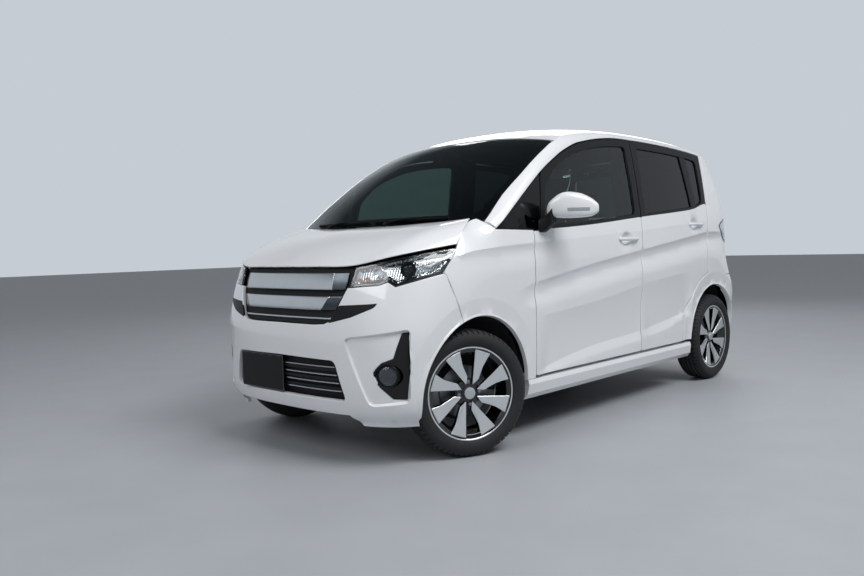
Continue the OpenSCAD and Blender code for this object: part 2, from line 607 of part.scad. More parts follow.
// Nose
// Outlines on the left half in Y and Z
GRILLE = end_drawn([[0, 608.7], [319.4, 603.7], [363.4, 690.4], [396.2, 763.6], [398, 790], [398, 845], [0, 845]]);
LAMP = end_drawn([[410, 764], [533, 773], [564, 785], [593, 765], [716, 814], [716, 932], [684, 924], [588, 888], [416, 848],
    [412, 800]]);
INTAKE = end_drawn([[0, 286], [405, 286], [356, 456], [0, 462]]);
// The fog lamp keeps clear of a larger arch
fog_in = max(0, arch_radius - 340);
FOG = end_drawn([for (p = [[536, 412], [560, 350], [604, 300], [646, 298], [660, 430], [656, 579], [638, 576], [612, 470], [570, 452]])
    p - [fog_in, 0]]);
FACET = end_drawn([for (p = [[404, 556], [661, 593], [655, 285], [510, 268], [424, 500]]) p - [fog_in, 0]]);
facet_depth = 12;
function both(p) = concat(p, [for (i = [len(p) - 1 : -1 : 0]) if (p[i][0] != 0) [-p[i][0], p[i][1]]]);
module nose_rows(zs, ts, d0, d1) {
    sheet([for (z = zs) [for (t = ts) nose_pt(t, z, d0)]], [for (z = zs) [for (t = ts) nose_pt(t, z, d1)]]);
}
module nose_sheet(z0, z1, nz, t0, nt, d0, d1) {
    nose_rows(steps(z0, z1, nz), steps(t0, 180 - t0, nt), d0, d1);
}
module half_nose(z0, z1, nz, t0, t1, nt, d0, d1) {
    nose_rows(steps(z0, z1, nz), steps(t0, t1, nt), d0, d1);
}
BUMPER = end_drawn([[0, 608], [320, 603], [364, 690], [397, 763.4], [410, 763.4], [533, 772.4], [564, 784.4], [593, 764.4], [716, 813.4],
    [780, 813.4], [780, 173], [440, 173], [405, 222], [0, 222]]);
module front_bumper() {
    color("white")
        difference() {
            intersection() {
                nose_sheet(168, up(818), 10, 8, 24, 0, skin);
                through_end(both(BUMPER), axle_f - 50, nose_x + 10);
            }
            through_end(both(INTAKE), axle_f + 200, nose_x + 10);
            both_sides() {
                through_end(FOG, axle_f + 150, nose_x + 10);
                intersection() {
                    half_nose(up(262), up(600), 6, 10, 62, 10, -9, facet_depth);
                    through_end(FACET, axle_f + 150, nose_x + 10);
                }
                arch_cut(front_arch);
                through_side([for (p = side_drawn([[-60, 150], [-60, 860], [230, 860], [187, 816], [176, 805], [141, 710], [100, 615],
                    [100, 150]])) p + [0.8, 0]], 120);
            }
        }
}
module grille_backing() {
    color("#181818") {
        intersection() {
            nose_rows(concat([up(600), up(634)], bar_rows(BARS[1]), [up(741)], bar_rows(BARS[0]), [up(850)]), steps(40, 140, 10), 20, 44);
            through_end(both(GRILLE), axle_f, nose_x + 10);
        }
        intersection() {
            nose_sheet(up(280), up(466), 3, 40, 10, 34, 48);
            through_end(both(INTAKE), axle_f, nose_x + 10);
        }
        for (z = [up(334), up(373), up(413)])
            intersection() {
                nose_sheet(z - 6, z + 6, 1, 40, 10, 18, 33.6);
                through_end(both([for (p = INTAKE) p - [p[0] > 0 ? 1 : 0, 0]]), axle_f, nose_x + 10);
            }
    }
}
// Bright bars of the grille: [bottom, top, depth inside the skin, end]
BARS = [[up(754), up(828), -4, 388 * width_share], [up(668), up(728), -2, 348 * width_share]];
function bar_rows(b) = [b[0], (b[0] + b[1]) / 2, b[1]];
module grille_bars() {
    color("silver")
        for (b = BARS)
            intersection() {
                nose_rows(bar_rows(b), steps(40, 140, 10), b[2], 19.4);
                translate([axle_f, -b[3], 0])
                    cube([800, 2 * b[3], 1000]);
            }
}
module headlamps() {
    color("lightgray")
        both_sides()
            intersection() {
                half_nose(up(750), up(936), 6, 6, 62, 12, 1, 46);
                through_end(LAMP, axle_f + 70, nose_x + 10);
                through_side(side_drawn([[78, 940], [78, 924], [191, 818], [191, 700], [565, 700], [565, 940]]), 500);
            }
}
module fog_lamps() {
    color("#181818")
        both_sides() {
            intersection() {
                half_nose(up(292), up(584), 6, 14, 60, 8, facet_depth, facet_depth + 14);
                through_end(FOG, axle_f + 200, nose_x + 10);
            }
        }
}
plate_y = -148;
function nose_inside(y, z, d) = let (c = pow(abs(y) / (form_y(nose_from, z) - d), CORNER / 2))
    nose_from + (nose_at(z) - d - nose_from) * pow(1 - c * c, 1 / nose_full(z));
module number_plate() {
    color("#202020")
        union() {
            translate([nose_x - 12, plate_y - 165, 292])
                cube([10, 330, up(457) - 292]);
            for (z = [up(353.5), up(393)])
                translate([nose_inside(plate_y, z, 34) + 1, plate_y - 40, z - 9])
                    cube([nose_x - 12 - nose_inside(plate_y, z, 34), 80, 18]);
        }
}

// Bonnet: front edge and rear edge over the half width: [share, x from the front axle, y, z]
LID_FRONT = [[0, 482, 0, 857], [0.3, 474, 207, 857], [0.58, 441, 404, 860], [0.8, 345, 560, 895], [1, 80, 670, 937]];
LID_REAR = [[0, 25, 0, 1030], [0.3, 14, 187, 1032], [0.58, -8, 362, 1037], [0.8, -42, 505, 1043], [1, -74, 622, 1052]];
function lid_pt(v, e, d) = let (a = abs(e), f = [for (c = [1 : 3]) curve(LID_FRONT, a, c)], r = [for (c = [1 : 3]) curve(LID_REAR, a, c)],
    p = mix(f, r, v), sag = 34 * 4 * v * (1 - v) * (1 - 0.4 * a))
    [axle_f + at(p[0]), (e < 0 ? -1 : 1) * (p[1] + 10 * 4 * v * (1 - v) * a) * width_share, up(p[2] + sag) - d];
LID_ROWS = [1, 0.93, 0.75, 0.56, 0.38, 0.2, 0.07, 0];
LID_COLS = concat([-1, -0.94], steps(-0.84, 0.84, 10), [0.94, 1]);
function lid_depth(v, e) = 5 + 11 * (1 - ease(0.86, 0.96, abs(e))) * ease(0.02, 0.07, v);
bonnet_axis = [axle_f + at(-70), up(1022)];
module bonnet() {
    color("white")
        difference() {
            union() {
                sheet([for (v = LID_ROWS) [for (e = LID_COLS) lid_pt(v, e, 0)]],
                    [for (v = LID_ROWS) [for (e = LID_COLS) lid_pt(v, e, lid_depth(v, e))]]);
                both_sides()
                    translate([bonnet_axis[0], 518, bonnet_axis[1]]) {
                        rotate([-90, 0, 0])
                            cylinder(r = lid_pin + 6, h = 30);
                        translate([0, 0, -10])
                            cube([70, 30, 22]);
                    }
            }
            both_sides()
                translate([bonnet_axis[0], 500, bonnet_axis[1]])
                    rotate([-90, 0, 0])
                        cylinder(r = lid_pin + 0.05, h = 60);
        }
}
// Black strip between the bonnet and the screen
module scuttle() {
    color("#202020")
        difference() {
            union() {
                sheet([for (v = steps(0, 1, 3)) [for (s = steps(-1, 1, 12)) scuttle_pt(v, s, 0)]],
                    [for (v = steps(0, 1, 3)) [for (s = steps(-1, 1, 12)) scuttle_pt(v, s, 6)]]);
                both_sides()
                    translate([axle_f + at(-58), 380, up(988) + 0.2])
                        cube([16, 90, 30]);
            }
            both_sides()
                translate([bonnet_axis[0] - 60, 508, up(900)])
                    cube([220, 164, 200]);
        }
}
function scuttle_pt(v, s, d) = let (a = span_pt(rail_row(-100), s, 12), b = lid_pt(1, s, 0) + [24, 0, -44],
    y = mix(a[1], b[1], v) * 0.955) [mix(a[0], b[0], v) + 3, y, mix(a[2], b[2], v) - 4 - d];

// Tailgate
roof_end = axle_f + at(-2560);
gate_gap = 12;
gate_axis = [roof_end - gate_gap - 20, car_height - 104 * roof_share];
gate_hinge = 330;
spoiler_half = 508;
function spoiler_pt(v, s, d) = let (x = mix(roof_end - gate_gap, roof_end - 172 + 44 * s * s, v))
    [x, s * spoiler_half, car_height - 105 * roof_share + 22 * (1 - pow(abs(s), 2.2)) - 26 * v - d * mix(58, 12, v)];
module rear_header() {
    color("gray")
        union() {
            translate([roof_end + 22, -420, gate_axis[1] - 56])
                cube([46, 840, 45.4]);
            both_sides() {
                translate([gate_axis[0] - 5, gate_hinge - 6, gate_axis[1] - 68])
                    cube([roof_end + 23 - gate_axis[0] + 5, 12, 22]);
                translate([gate_axis[0] - 5, gate_hinge - 6, gate_axis[1] - 68])
                    cube([10, 12, 68]);
                translate([gate_axis[0], gate_hinge - 38, gate_axis[1]])
                    rotate([-90, 0, 0])
                        cylinder(r = lid_pin, h = 76);
            }
        }
}
module tail_sheet(z0, z1, nz, nt, d0, d1, side = -1) {
    zs = steps(z0, z1, nz);
    sheet([for (z = zs) [for (t = tail_steps(z, nt, side)) tail_pt(t, z, d0)]],
        [for (z = zs) [for (t = tail_steps(z, nt, side)) tail_pt(t, z, d1)]]);
}
function tail_steps(z, n, side) = let (e = side < 0 ? tail_edge(z) + 1.6 : side) steps(180 - e, e, n);
GATE_WINDOW = end_drawn([[0, 1120], [470, 1120], [500, 1150], [470, 1400], [430, 1430], [0, 1440]]);
module tailgate() {
    color("white")
        difference() {
            union() {
                tail_sheet(up(700), car_height - 138 * roof_share, 9, 12, 0, 50);
                sheet([for (v = steps(1, 0, 3)) [for (s = steps(-1, 1, 8)) spoiler_pt(v, s, 0)]],
                    [for (v = steps(1, 0, 3)) [for (s = steps(-1, 1, 8)) spoiler_pt(v, s, 1)]]);
            }
            through_end(both(GATE_WINDOW), -nose_x - 10, axle_r + 77);
            both_sides() {
                translate([gate_axis[0] - 14, gate_hinge - 30, gate_axis[1] - 86])
                    cube([80, 60, lid_pin + 86.6]);
                translate([gate_axis[0], gate_hinge - 44, gate_axis[1]])
                    rotate([-90, 0, 0])
                        cylinder(r = lid_pin + 0.05, h = 88);
            }
        }
}
module tailgate_glass() {
    color("lightblue", 0.5)
        intersection() {
            tail_sheet(up(1112), up(1448), 4, 10, 6, 11);
            through_end(both([for (p = GATE_WINDOW) p - [p[0] > 0 ? 0.3 : 0, p[1] > up(1300) ? 0.3 : -0.3]]), -nose_x - 10, axle_r + 77);
        }
}
module rear_bumper() {
    color("white")
        difference() {
            tail_sheet(240, up(684), 7, 22, 0, 34, 0.2);
            both_sides() {
                arch_cut(rear_arch);
                translate([axle_r - 170.7, 300, 100])
                    cube([900, 600, 700]);
            }
        }
}

// Cabin

module dashboard() {
    color("#303030")
        difference() {
            rotate([90, 0, 0])
                linear_extrude(height = 1180, center = true)
                    polygon([for (p = side_drawn([[-280.3, 640], [-263.4, 935], [-300, 985], [-480, 960], [-560, 900], [-520, 700],
                        [-420, 620]])) p - [eps, 0]]);
            translate(wheel_at)
                rotate([0, wheel_rake - 90, 0])
                    translate([0, 0, -column_length - 4])
                        cylinder(r = column_r + 0.05, h = column_length);
        }
}
wheel_at = [axle_f + at(-632.5), -330, up(900)];
wheel_rake = 26;
column_r = 16;
column_length = 170;
module steering_wheel() {
    color("#202020")
        translate(wheel_at)
            rotate([0, wheel_rake - 90, 0]) {
                rotate_extrude()
                    translate([steering_wheel_radius, 0])
                        circle(r = steering_grip);
                translate([0, 0, -26])
                    cylinder(r = 58, h = 34);
                for (a = [0, 110, 250])
                    rotate([0, 0, a])
                        translate([50, -14, -10])
                            cube([steering_wheel_radius - 54, 28, 14]);
                translate([0, 0, -column_length])
                    cylinder(r = column_r, h = column_length - 20);
            }
}
module front_seats() {
    color("#404040")
        both_sides()
            translate([0, 556, 0])
                rotate([90, 0, 0])
                    linear_extrude(height = 500)
                        polygon(car_drawn([[330, 380], [340, 560], [300, 590], [-130, 545], [-250, 1040], [-265, 1240], [-330, 1250],
                            [-370, 1200], [-345, 1000], [-250, 460], [-160, 225.3], [280, 225.3]]));
}
module rear_seat() {
    color("#404040")
        rotate([90, 0, 0])
            linear_extrude(height = 976, center = true)
                polygon(car_drawn([[-500, 400], [-490, 560], [-530, 590], [-930, 560], [-1060, 1040], [-1080, 1200], [-1140, 1210],
                    [-1180, 1170], [-1160, 1000], [-1040, 470], [-980, 362.8], [-520, 355.7]]));
}

// Running gear

module powertrain() {
    color("gray")
        translate([axle_f + 20, -340, 230.4])
            cube([340 * nose_share, 680, up(730) - 230]);
}
module front_suspension() {
    color("#282828") {
        translate([axle_f - 90, -330, 170])
            cube([290, 660, 60]);
        both_sides() {
            link(330.3, 150, 20);
            union() {
                link(450, 402, 18);
                translate([axle_f, 480, 402])
                    cylinder(r = 30, h = axle_z + liner_r - 8.5 - 402);
            }
        }
    }
}
// Flat link from y to the kingpin, z is its underside
module link(y, z, h) {
    difference() {
        union() {
            translate([axle_f - 20, y, z])
                cube([40, kingpin_y - y, h]);
            translate([axle_f, kingpin_y, z])
                cylinder(r = 20, h = h);
        }
        translate([axle_f, kingpin_y, z - 10])
            cylinder(r = kingpin_r + 0.05, h = h + 20);
    }
}
kingpin_r = 10;
module knuckle(side) {
    color("dimgray")
        translate([axle_f, side * kingpin_y, 0])
            rotate([0, 0, parked_steer]) {
                translate([-26, side > 0 ? -18 : -16, 174])
                    cube([52, 34, 224]);
                translate([0, 0, 150])
                    cylinder(r = kingpin_r, h = 270);
                translate([0, side > 0 ? 10 : -92, axle_z])
                    rotate([-90, 0, 0])
                        cylinder(r = spindle_radius, h = 82);
            }
}
module knuckle_left() { knuckle(1); }
module knuckle_right() { knuckle(-1); }
module rear_axle() {
    color("#282828")
        union() {
            translate([axle_r, -520, axle_z])
                rotate([-90, 0, 0])
                    cylinder(r = 32, h = 1040);
            both_sides() {
                translate([axle_r - 40, 440, axle_z - 35])
                    cube([460, 45, 60]);
                translate([axle_r + 370, 440, axle_z])
                    cube([50, 45, 57.4]);
                translate([axle_r, 519, axle_z])
                    rotate([-90, 0, 0])
                        cylinder(r = spindle_radius, h = wheel_yr + 42 - 519);
            }
        }
}
module fuel_tank() {
    color("#303030")
        translate([axle_f + at(-2012.5), -400, 190])
            cube([330 * base_share, 800, up(333) - 190 + 0.2]);
}
exhaust_x = axle_f + at(-2652.5);
module exhaust() {
    color("gray")
        union() {
            translate([exhaust_x - 80, 60, 200])
                cube([110, 420, 130]);
            for (y = [100, 410])
                translate([exhaust_x, y, 320])
                    cube([24, 20, up(347.7) - 320]);
            translate([exhaust_x - 172, 400, 206])
                rotate([0, 90, 0])
                    cylinder(r = 18, h = 100);
        }
}

// Wheels are drawn about their own axis, outer side to +Y

// Section of the rim in radius and depth from the wheel's middle plane
RIM = [[rim_r, -62], [rim_r + 17, -64], [rim_r + 17, -70], [rim_r + 8, -70], [rim_r - 8, -58], [rim_r - 14, -46],
    [rim_r - 24, -22], [rim_r - 24, 24], [rim_r - 14, 44], [rim_r - 9, 60], [rim_r + 8, 66], [rim_r + 12, 70], [rim_r + 17, 70],
    [rim_r + 17, 64], [rim_r, 62], [rim_r, 40], [rim_r - 16, 22], [rim_r - 16, -16], [rim_r, -36]];
// A blade has one straight edge and one with a knee: [along, out from the wheel's middle]
blades = 8;
blade_turn = -20;
BLADE = [[33, rim_r - 4], [-33, rim_r - 6], [-28, rim_r - 22], [-23, rim_r - 45], [-24, 70], [-3, 38]];
nuts = 4;
module wheel() {
    color("silver")
        difference() {
            union() {
                rotate([-90, 0, 0])
                    rotate_extrude()
                        polygon(RIM);
                translate([0, 8, 0])
                    rotate([-90, 0, 0])
                        cylinder(r = 64, h = 30);
                translate([0, 30, 0])
                    rotate([-90, 0, 0])
                        cylinder(r = 27, h = 28);
                for (i = [0 : nuts - 1])
                    rotate([0, 4 + i * 360 / nuts, 0])
                        translate([0, 30, 50])
                            rotate([-90, 0, 0])
                                cylinder(r = 10, h = 20, $fn = 6);
                for (i = [0 : blades - 1])
                    rotate([0, blade_turn - i * 360 / blades, 0])
                        translate([0, 58, 0])
                            rotate([90, 0, 0])
                                linear_extrude(height = 24)
                                    polygon(BLADE);
                translate([0, -22, 0])
                    rotate([-90, 0, 0])
                        cylinder(r = 118, h = 12);
                translate([0, -12, 0])
                    rotate([-90, 0, 0])
                        cylinder(r = 60, h = 22);
            }
            translate([0, -60, 0])
                rotate([-90, 0, 0])
                    cylinder(r = bore_r, h = 104);
        }
}
// Section of the tyre in radius and depth from the wheel's middle plane
module tyre() {
    w = tyre_width / 2;
    r = tyre_diameter / 2;
    b = rim_r + 0.3;
    color("#1a1a1a")
        rotate([-90, 0, 0])
            rotate_extrude()
                polygon([[b, -40], [b, -61], [b + 17, -62.6], [b + 17.4, -71], [b + 30, -w + 4], [b + 46, -w], [r - 26, -w + 4], [r - 9, -w + 15],
                    [r - 2, -w + 30], [r, -w + 55], [r, w - 55], [r - 2, w - 30], [r - 9, w - 15], [r - 26, w - 4], [b + 46, w],
                    [b + 30, w - 4], [b + 17.4, 71], [b + 17, 62.6], [b, 61], [b, 44], [b + 20, 44], [r - 30, 48], [r - 30, -48], [b + 20, -40]]);
}
module at_front(side) {
    translate([axle_f, side * kingpin_y, axle_z])
        rotate([0, 0, parked_steer])
            translate([0, side * (wheel_y - kingpin_y), 0])
                rotate([0, 0, side > 0 ? 0 : 180])
                    children();
}
module at_rear(side) {
    translate([axle_r, side * wheel_yr, axle_z])
        rotate([0, 0, side > 0 ? 0 : 180])
            children();
}
module wheel_front_left() { at_front(1) wheel(); }
module wheel_front_right() { at_front(-1) wheel(); }
module wheel_rear_left() { at_rear(1) wheel(); }
module wheel_rear_right() { at_rear(-1) wheel(); }
module tyre_front_left() { at_front(1) tyre(); }
module tyre_front_right() { at_front(-1) tyre(); }
module tyre_rear_left() { at_rear(1) tyre(); }
module tyre_rear_right() { at_rear(-1) tyre(); }

// Wiper blades lie along the foot of the screen, columns are shares of its half width
module wipers() {
    color("#181818")
        for (cols = [[-0.75, -0.5, -0.25, 0], [0, 0.25, 0.5, 0.75]])
            sheet([for (u = [-132, -118]) [for (s = cols) wiper_pt(u, s, -9)]],
                [for (u = [-132, -118]) [for (s = cols) wiper_pt(u, s, 2.2)]]);
}
function wiper_pt(u, s, d) = span_pt(chord_row(u), s * 0.98 - 0.01, d);

floor_pan();
bulkhead();
sills();
pillars();
door_hinges();
cant_rails();
rear_header();
quarter_panels();
front_fenders();
wheel_liners();
roof_panel();
bonnet();
windscreen();
scuttle();
quarter_panes();
wipers();
front_bumper();
grille_backing();
grille_bars();
headlamps();
fog_lamps();
number_plate();
front_door_left();
front_door_right();
rear_door_left();
rear_door_right();
front_glass_left();
front_glass_right();
rear_glass_left();
rear_glass_right();
mirror_left();
mirror_right();
tailgate();
tailgate_glass();
rear_bumper();
tail_lamps();
dashboard();
steering_wheel();
front_seats();
rear_seat();
powertrain();
front_suspension();
knuckle_left();
knuckle_right();
rear_axle();
fuel_tank();
exhaust();
wheel_front_left();
wheel_front_right();
wheel_rear_left();
wheel_rear_right();
tyre_front_left();
tyre_front_right();
tyre_rear_left();
tyre_rear_right();
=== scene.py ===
# %% [markdown]
# # A small tall hatchback, dressed for the camera
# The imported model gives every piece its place, its body and its joints. This script adds the looks:
# fine body panels over the same form, glass, lamps, wheels, trim and a cabin.
# It loads the frame first, because every piece made later rides on one of its bodies.

# %% Load the frame
import math

import bmesh
import bpy
import numpy as np
from mathutils import Matrix, Vector
from mathutils.geometry import delaunay_2d_cdt


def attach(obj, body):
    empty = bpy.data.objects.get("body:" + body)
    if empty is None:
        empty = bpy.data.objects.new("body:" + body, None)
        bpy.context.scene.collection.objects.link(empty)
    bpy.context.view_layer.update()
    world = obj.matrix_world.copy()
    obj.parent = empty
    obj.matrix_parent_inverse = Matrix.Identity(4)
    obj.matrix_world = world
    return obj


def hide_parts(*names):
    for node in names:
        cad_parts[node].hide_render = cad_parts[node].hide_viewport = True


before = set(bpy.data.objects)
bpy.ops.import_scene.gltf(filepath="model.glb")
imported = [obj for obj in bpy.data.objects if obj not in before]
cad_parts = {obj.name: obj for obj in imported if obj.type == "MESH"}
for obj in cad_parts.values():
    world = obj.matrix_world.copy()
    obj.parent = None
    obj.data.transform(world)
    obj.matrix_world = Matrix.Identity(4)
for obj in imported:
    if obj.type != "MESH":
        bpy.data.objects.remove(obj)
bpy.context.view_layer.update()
scene = bpy.context.scene
scene.view_settings.view_transform = "Standard"
MM = 0.001

# %% [markdown]
# ## The camera
# The photograph was taken from the front left at about headlamp height. The camera stands where
# straight edges and the wheels' places put it, looks a little down and is rolled by a degree and a half.

# %% Camera
camera_place = Vector((3.7453, 2.9077, 0.9249))
yaw, pitch, roll = math.radians(223.52), math.radians(3.0), math.radians(-1.56)
focal_pixels, image_width = 775.1, 864
forward = Vector((math.cos(yaw) * math.cos(pitch), math.sin(yaw) * math.cos(pitch), -math.sin(pitch)))
right = Vector((math.sin(yaw), -math.cos(yaw), 0))
up = right.cross(forward)
tilted_right = right * math.cos(roll) + up * math.sin(roll)
tilted_up = up * math.cos(roll) - right * math.sin(roll)
camera = bpy.data.objects.new("camera", bpy.data.cameras.new("camera"))
turn = Matrix((tilted_right, tilted_up, -forward)).transposed().to_4x4()
camera.matrix_world = Matrix.Translation(camera_place) @ turn
camera.data.sensor_width = 36
camera.data.lens = focal_pixels / image_width * camera.data.sensor_width
scene.collection.objects.link(camera)
scene.camera = camera
print("camera lens:", round(camera.data.lens, 1), "mm")

# %% [markdown]
# ## Materials
# One function turns the sRGB colours that people read off a screen into the linear values that a
# shader needs, and one function adds a node with its settings and links. A material here is a
# Principled shader with whatever pattern the real surface has, sized in millimetres.

# %% Material helpers


def linear(hex_colour):
    """A screen colour as the linear values of a shader."""
    parts = [int(hex_colour[i:i + 2], 16) / 255 for i in (1, 3, 5)]
    return [c / 12.92 if c <= 0.04045 else ((c + 0.055) / 1.055) ** 2.4 for c in parts] + [1.0]


def add(tree, kind, inputs=None, **settings):
    """A new node: inputs are values or sockets to link, settings its own fields."""
    made = tree.nodes.new(kind)
    for key, value in settings.items():
        setattr(made, key, value)
    for key, value in (inputs or {}).items():
        if isinstance(value, bpy.types.NodeSocket):
            tree.links.new(value, made.inputs[key])
        else:
            made.inputs[key].default_value = value
    return made


def finish_of(name, colour, roughness, grain_mm=0, depth_mm=0.0, second=None, **sockets):
    """A Principled material; grain_mm is the size of its fine relief, second a colour mixed in with it."""
    made = bpy.data.materials.new(name)
    made.use_nodes = True
    tree = made.node_tree
    tree.nodes.clear()
    inputs = {"Base Color": linear(colour), "Roughness": roughness}
    inputs.update({key.replace("_", " "): value for key, value in sockets.items()})
    if grain_mm:
        place = add(tree, "ShaderNodeTexCoord").outputs["Object"]
        noise = add(tree, "ShaderNodeTexNoise", {"Vector": place, "Scale": 1000 / grain_mm, "Detail": 2.0})
        if depth_mm:
            bump = add(tree, "ShaderNodeBump", {"Height": noise.outputs["Fac"], "Strength": 0.6,
                                                "Distance": depth_mm * MM})
            inputs["Normal"] = bump.outputs["Normal"]
        if second:
            ramp = add(tree, "ShaderNodeValToRGB", {"Fac": noise.outputs["Fac"]})
            ramp.color_ramp.elements[0].position = 0.35
            ramp.color_ramp.elements[0].color = linear(colour)
            ramp.color_ramp.elements[1].position = 0.65
            ramp.color_ramp.elements[1].color = linear(second)
            inputs["Base Color"] = ramp.outputs["Color"]
    shader = add(tree, "ShaderNodeBsdfPrincipled", inputs)
    add(tree, "ShaderNodeOutputMaterial", {"Surface": shader.outputs["BSDF"]})
    return made


# %% [markdown]
# ## The finishes
# Pearl paint is a white coat with fine flakes under clear lacquer. Window surrounds are satin black,
# lower trim is grained plastic, the grille bars are dark chrome. Glass and lamp lenses let light
# through, so what lies behind them has to be finished too. Each could be a picture wrapped on a mesh;
# noise sized in millimetres was chosen, because it needs no unwrapping and stays sharp close up.

# %% Paint and plastics
# Pearl lacquer on steel: flakes of a millimetre, coarser than real ones so that they show
pearl = finish_of("pearl_lacquer", "#eceef0", 0.32, 1.2, second="#e2e5e8", Coat_Weight=1.0,
                  Coat_Roughness=0.03)
# Satin black film on the window frames: soft, even shine
satin_black = finish_of("satin_black_film", "#0f1113", 0.42, 0.8, 0.01, Specular_IOR_Level=0.22)
# Moulded polypropylene with a leather-like grain of about a millimetre, which takes its shine away
grained_black = finish_of("grained_polypropylene", "#121315", 0.62, 1.1, 0.08, second="#18191b",
                          Specular_IOR_Level=0.3)
# Piano black: smooth ABS under lacquer, dark with sharp reflections
piano_black = finish_of("piano_black_abs", "#08090a", 0.09, 40, second="#0a0b0c", Coat_Weight=0.6,
                        Coat_Roughness=0.03)
# Signal lamp cover on the mirror: grey clear plastic over a bright backing
signal_slit = finish_of("signal_cover", "#8d959c", 0.12, 4, 0.2, second="#a9b0b6")
# Slush-moulded PVC skin of the dashboard: soft grain, hardly any shine
dash_skin = finish_of("slush_moulded_pvc", "#26282b", 0.55, 1.4, 0.1, second="#2c2e32")

# %% Metals
# Dark chrome plate: mirror metal with a smoky tone and a faint haze
dark_chrome = finish_of("dark_chrome_plate", "#c6cacd", 0.24, 60, second="#c3c7ca", Metallic=1.0)
# Bright chrome plate: a clean mirror for reflectors and mirror glass
chrome = finish_of("chrome_plate", "#e4e6e8", 0.06, 50, second="#dcdfe2", Metallic=1.0)
# Chrome plate darkened as painted shade: the same haze in a darker tone, for facets that turn away from the
# light and for the fog lamps' bowls
shaded_chrome = finish_of("shaded_chrome_plate", "#565b60", 0.24, 60, second="#4e5358", Metallic=1.0)
# Frosted reflector behind a clear cover: silver broken up by small pillows
lamp_silver = finish_of("frosted_reflector", "#c3c9ce", 0.2, 5, 0.2, second="#b4bbc1",
                        Coat_Weight=1.0, Coat_Roughness=0.04)
# Machined aluminium: fine turning marks seen as a soft sheen
machined = finish_of("machined_aluminium", "#e9ebec", 0.3, 0.5, 0.01, second="#dfe2e4", Metallic=1.0)
# Painted plastic wheel cap, plain: silver with a fine orange peel
cap_grey = finish_of("painted_cap", "#cfd3d6", 0.28, 3, 0.02, second="#c4c9cd", Metallic=0.9)
# Coated cast iron of hubs, axle and engine: dark and sandy
cast_grey = finish_of("cast_iron_coated", "#2b2d2f", 0.6, 1.5, 0.1, second="#333638", Metallic=0.4)
# Zinc-plated steel of nuts, discs and hinges: grey with cloudy spangle
zinc_steel = finish_of("zinc_plated_steel", "#8b8e90", 0.38, 2.0, 0.02, second="#7d8184", Metallic=0.9)

# %% Rubber, cloth and felt
# Sprayed underseal: thick, matt and pebbled
underseal = finish_of("underseal_coat", "#2e3134", 0.75, 3.0, 0.3, second="#373b3e")
# Tyre rubber: matt black with a dusty bloom
rubber = finish_of("tyre_rubber", "#17181a", 0.72, 1.6, 0.05, second="#1d1e21")
# Woven seat cloth: two dark yarns, drawn at two millimetres so that the weave shows
seat_weave = finish_of("woven_seat_cloth", "#2a2c31", 0.9, 2.2, 0.25, second="#3a3d44", Sheen_Weight=0.3)
# Knitted cloth on the seats' sides: finer and darker
seat_side = finish_of("knitted_seat_side", "#202226", 0.92, 1.5, 0.15, second="#292b30", Sheen_Weight=0.2)
# Pressed felt under the roof: pale and without shine
headliner = finish_of("headliner_felt", "#9a9a96", 0.95, 2.0, 0.1, second="#a4a4a0")
# Needle felt of the wheel housings: black and fluffy
liner_felt = finish_of("needle_felt", "#141517", 0.95, 2.5, 0.4, second="#1b1c1f")
# Leather of the steering wheel: embossed grain, polished by hands
wheel_leather = finish_of("grained_leather", "#1c1d1f", 0.5, 1.8, 0.12, second="#242527")

# %% Glass and lenses
# Laminated glass, green and tinted darker than real glass, which paints the shade of the cabin behind it. The
# panes at the back are dyed dark in the melt. The IOR was matched down from 1.5, because real panes are
# curved and coated and mirror less of a studio
screen_glass = finish_of("laminated_glass", "#7d918c", 0.0, Transmission_Weight=1.0, IOR=1.33)
privacy_glass = finish_of("privacy_glass", "#2a3230", 0.0, Transmission_Weight=1.0, IOR=1.33)
# Polycarbonate lamp lenses: clear with a hard coat, amber for the bulbs, red acrylic with fine pillows
clear_lens = finish_of("clear_polycarbonate", "#f4f7f8", 0.0, Transmission_Weight=1.0, IOR=1.4)
amber_lens = finish_of("amber_polycarbonate", "#d2591d", 0.12, 6, 0.3, Transmission_Weight=0.4, IOR=1.5)
red_lens = finish_of("red_acrylic", "#8f0f14", 0.06, 5, 0.15, Transmission_Weight=0.35, IOR=1.49)
# Acrylic light guide: milky white rod; its faint glow is painted light that makes it look bright
light_guide = finish_of("opal_acrylic", "#f1f4f7", 0.25, 8, 0.05, second="#e6eaee",
                        Emission_Color=linear("#ffffff"), Emission_Strength=0.25)
print("finishes:", len(bpy.data.materials))

# %% [markdown]
# ## The studio
# A pale floor, a soft sky that is brighter overhead than at the horizon, and three large soft lamps.
# White paint has to keep its shading, so the lamps stay weak and most light comes from above. The
# camera sees a pale wall behind the floor instead of the sky. Mirrors and panes see that wall too, and it
# darkens towards its ceiling, so that dark glass and black trim stay dark.

# %% Sky and wall
world = bpy.data.worlds.new("studio_sky")
world.use_nodes = True
sky = world.node_tree
sky.nodes.clear()
direction = add(sky, "ShaderNodeTexCoord").outputs["Generated"]
height = add(sky, "ShaderNodeSeparateXYZ", {"Vector": direction}).outputs["Z"]
overhead = add(sky, "ShaderNodeValToRGB", {"Fac": height})
overhead.color_ramp.elements[0].color = linear("#6d747c")
overhead.color_ramp.elements[1].color = linear("#f2f5f8")
soft_light = add(sky, "ShaderNodeBackground", {"Color": overhead.outputs["Color"], "Strength": 0.42})
wall = add(sky, "ShaderNodeValToRGB", {"Fac": height})
wall.color_ramp.elements[0].position = 0.32
wall.color_ramp.elements[1].position = 0.52
wall.color_ramp.elements[0].color = linear("#c6ccd3")
wall.color_ramp.elements[1].color = linear("#4b5158")
pale_wall = add(sky, "ShaderNodeBackground", {"Color": wall.outputs["Color"], "Strength": 1.0})
path = add(sky, "ShaderNodeLightPath").outputs
seen = path["Is Camera Ray"]
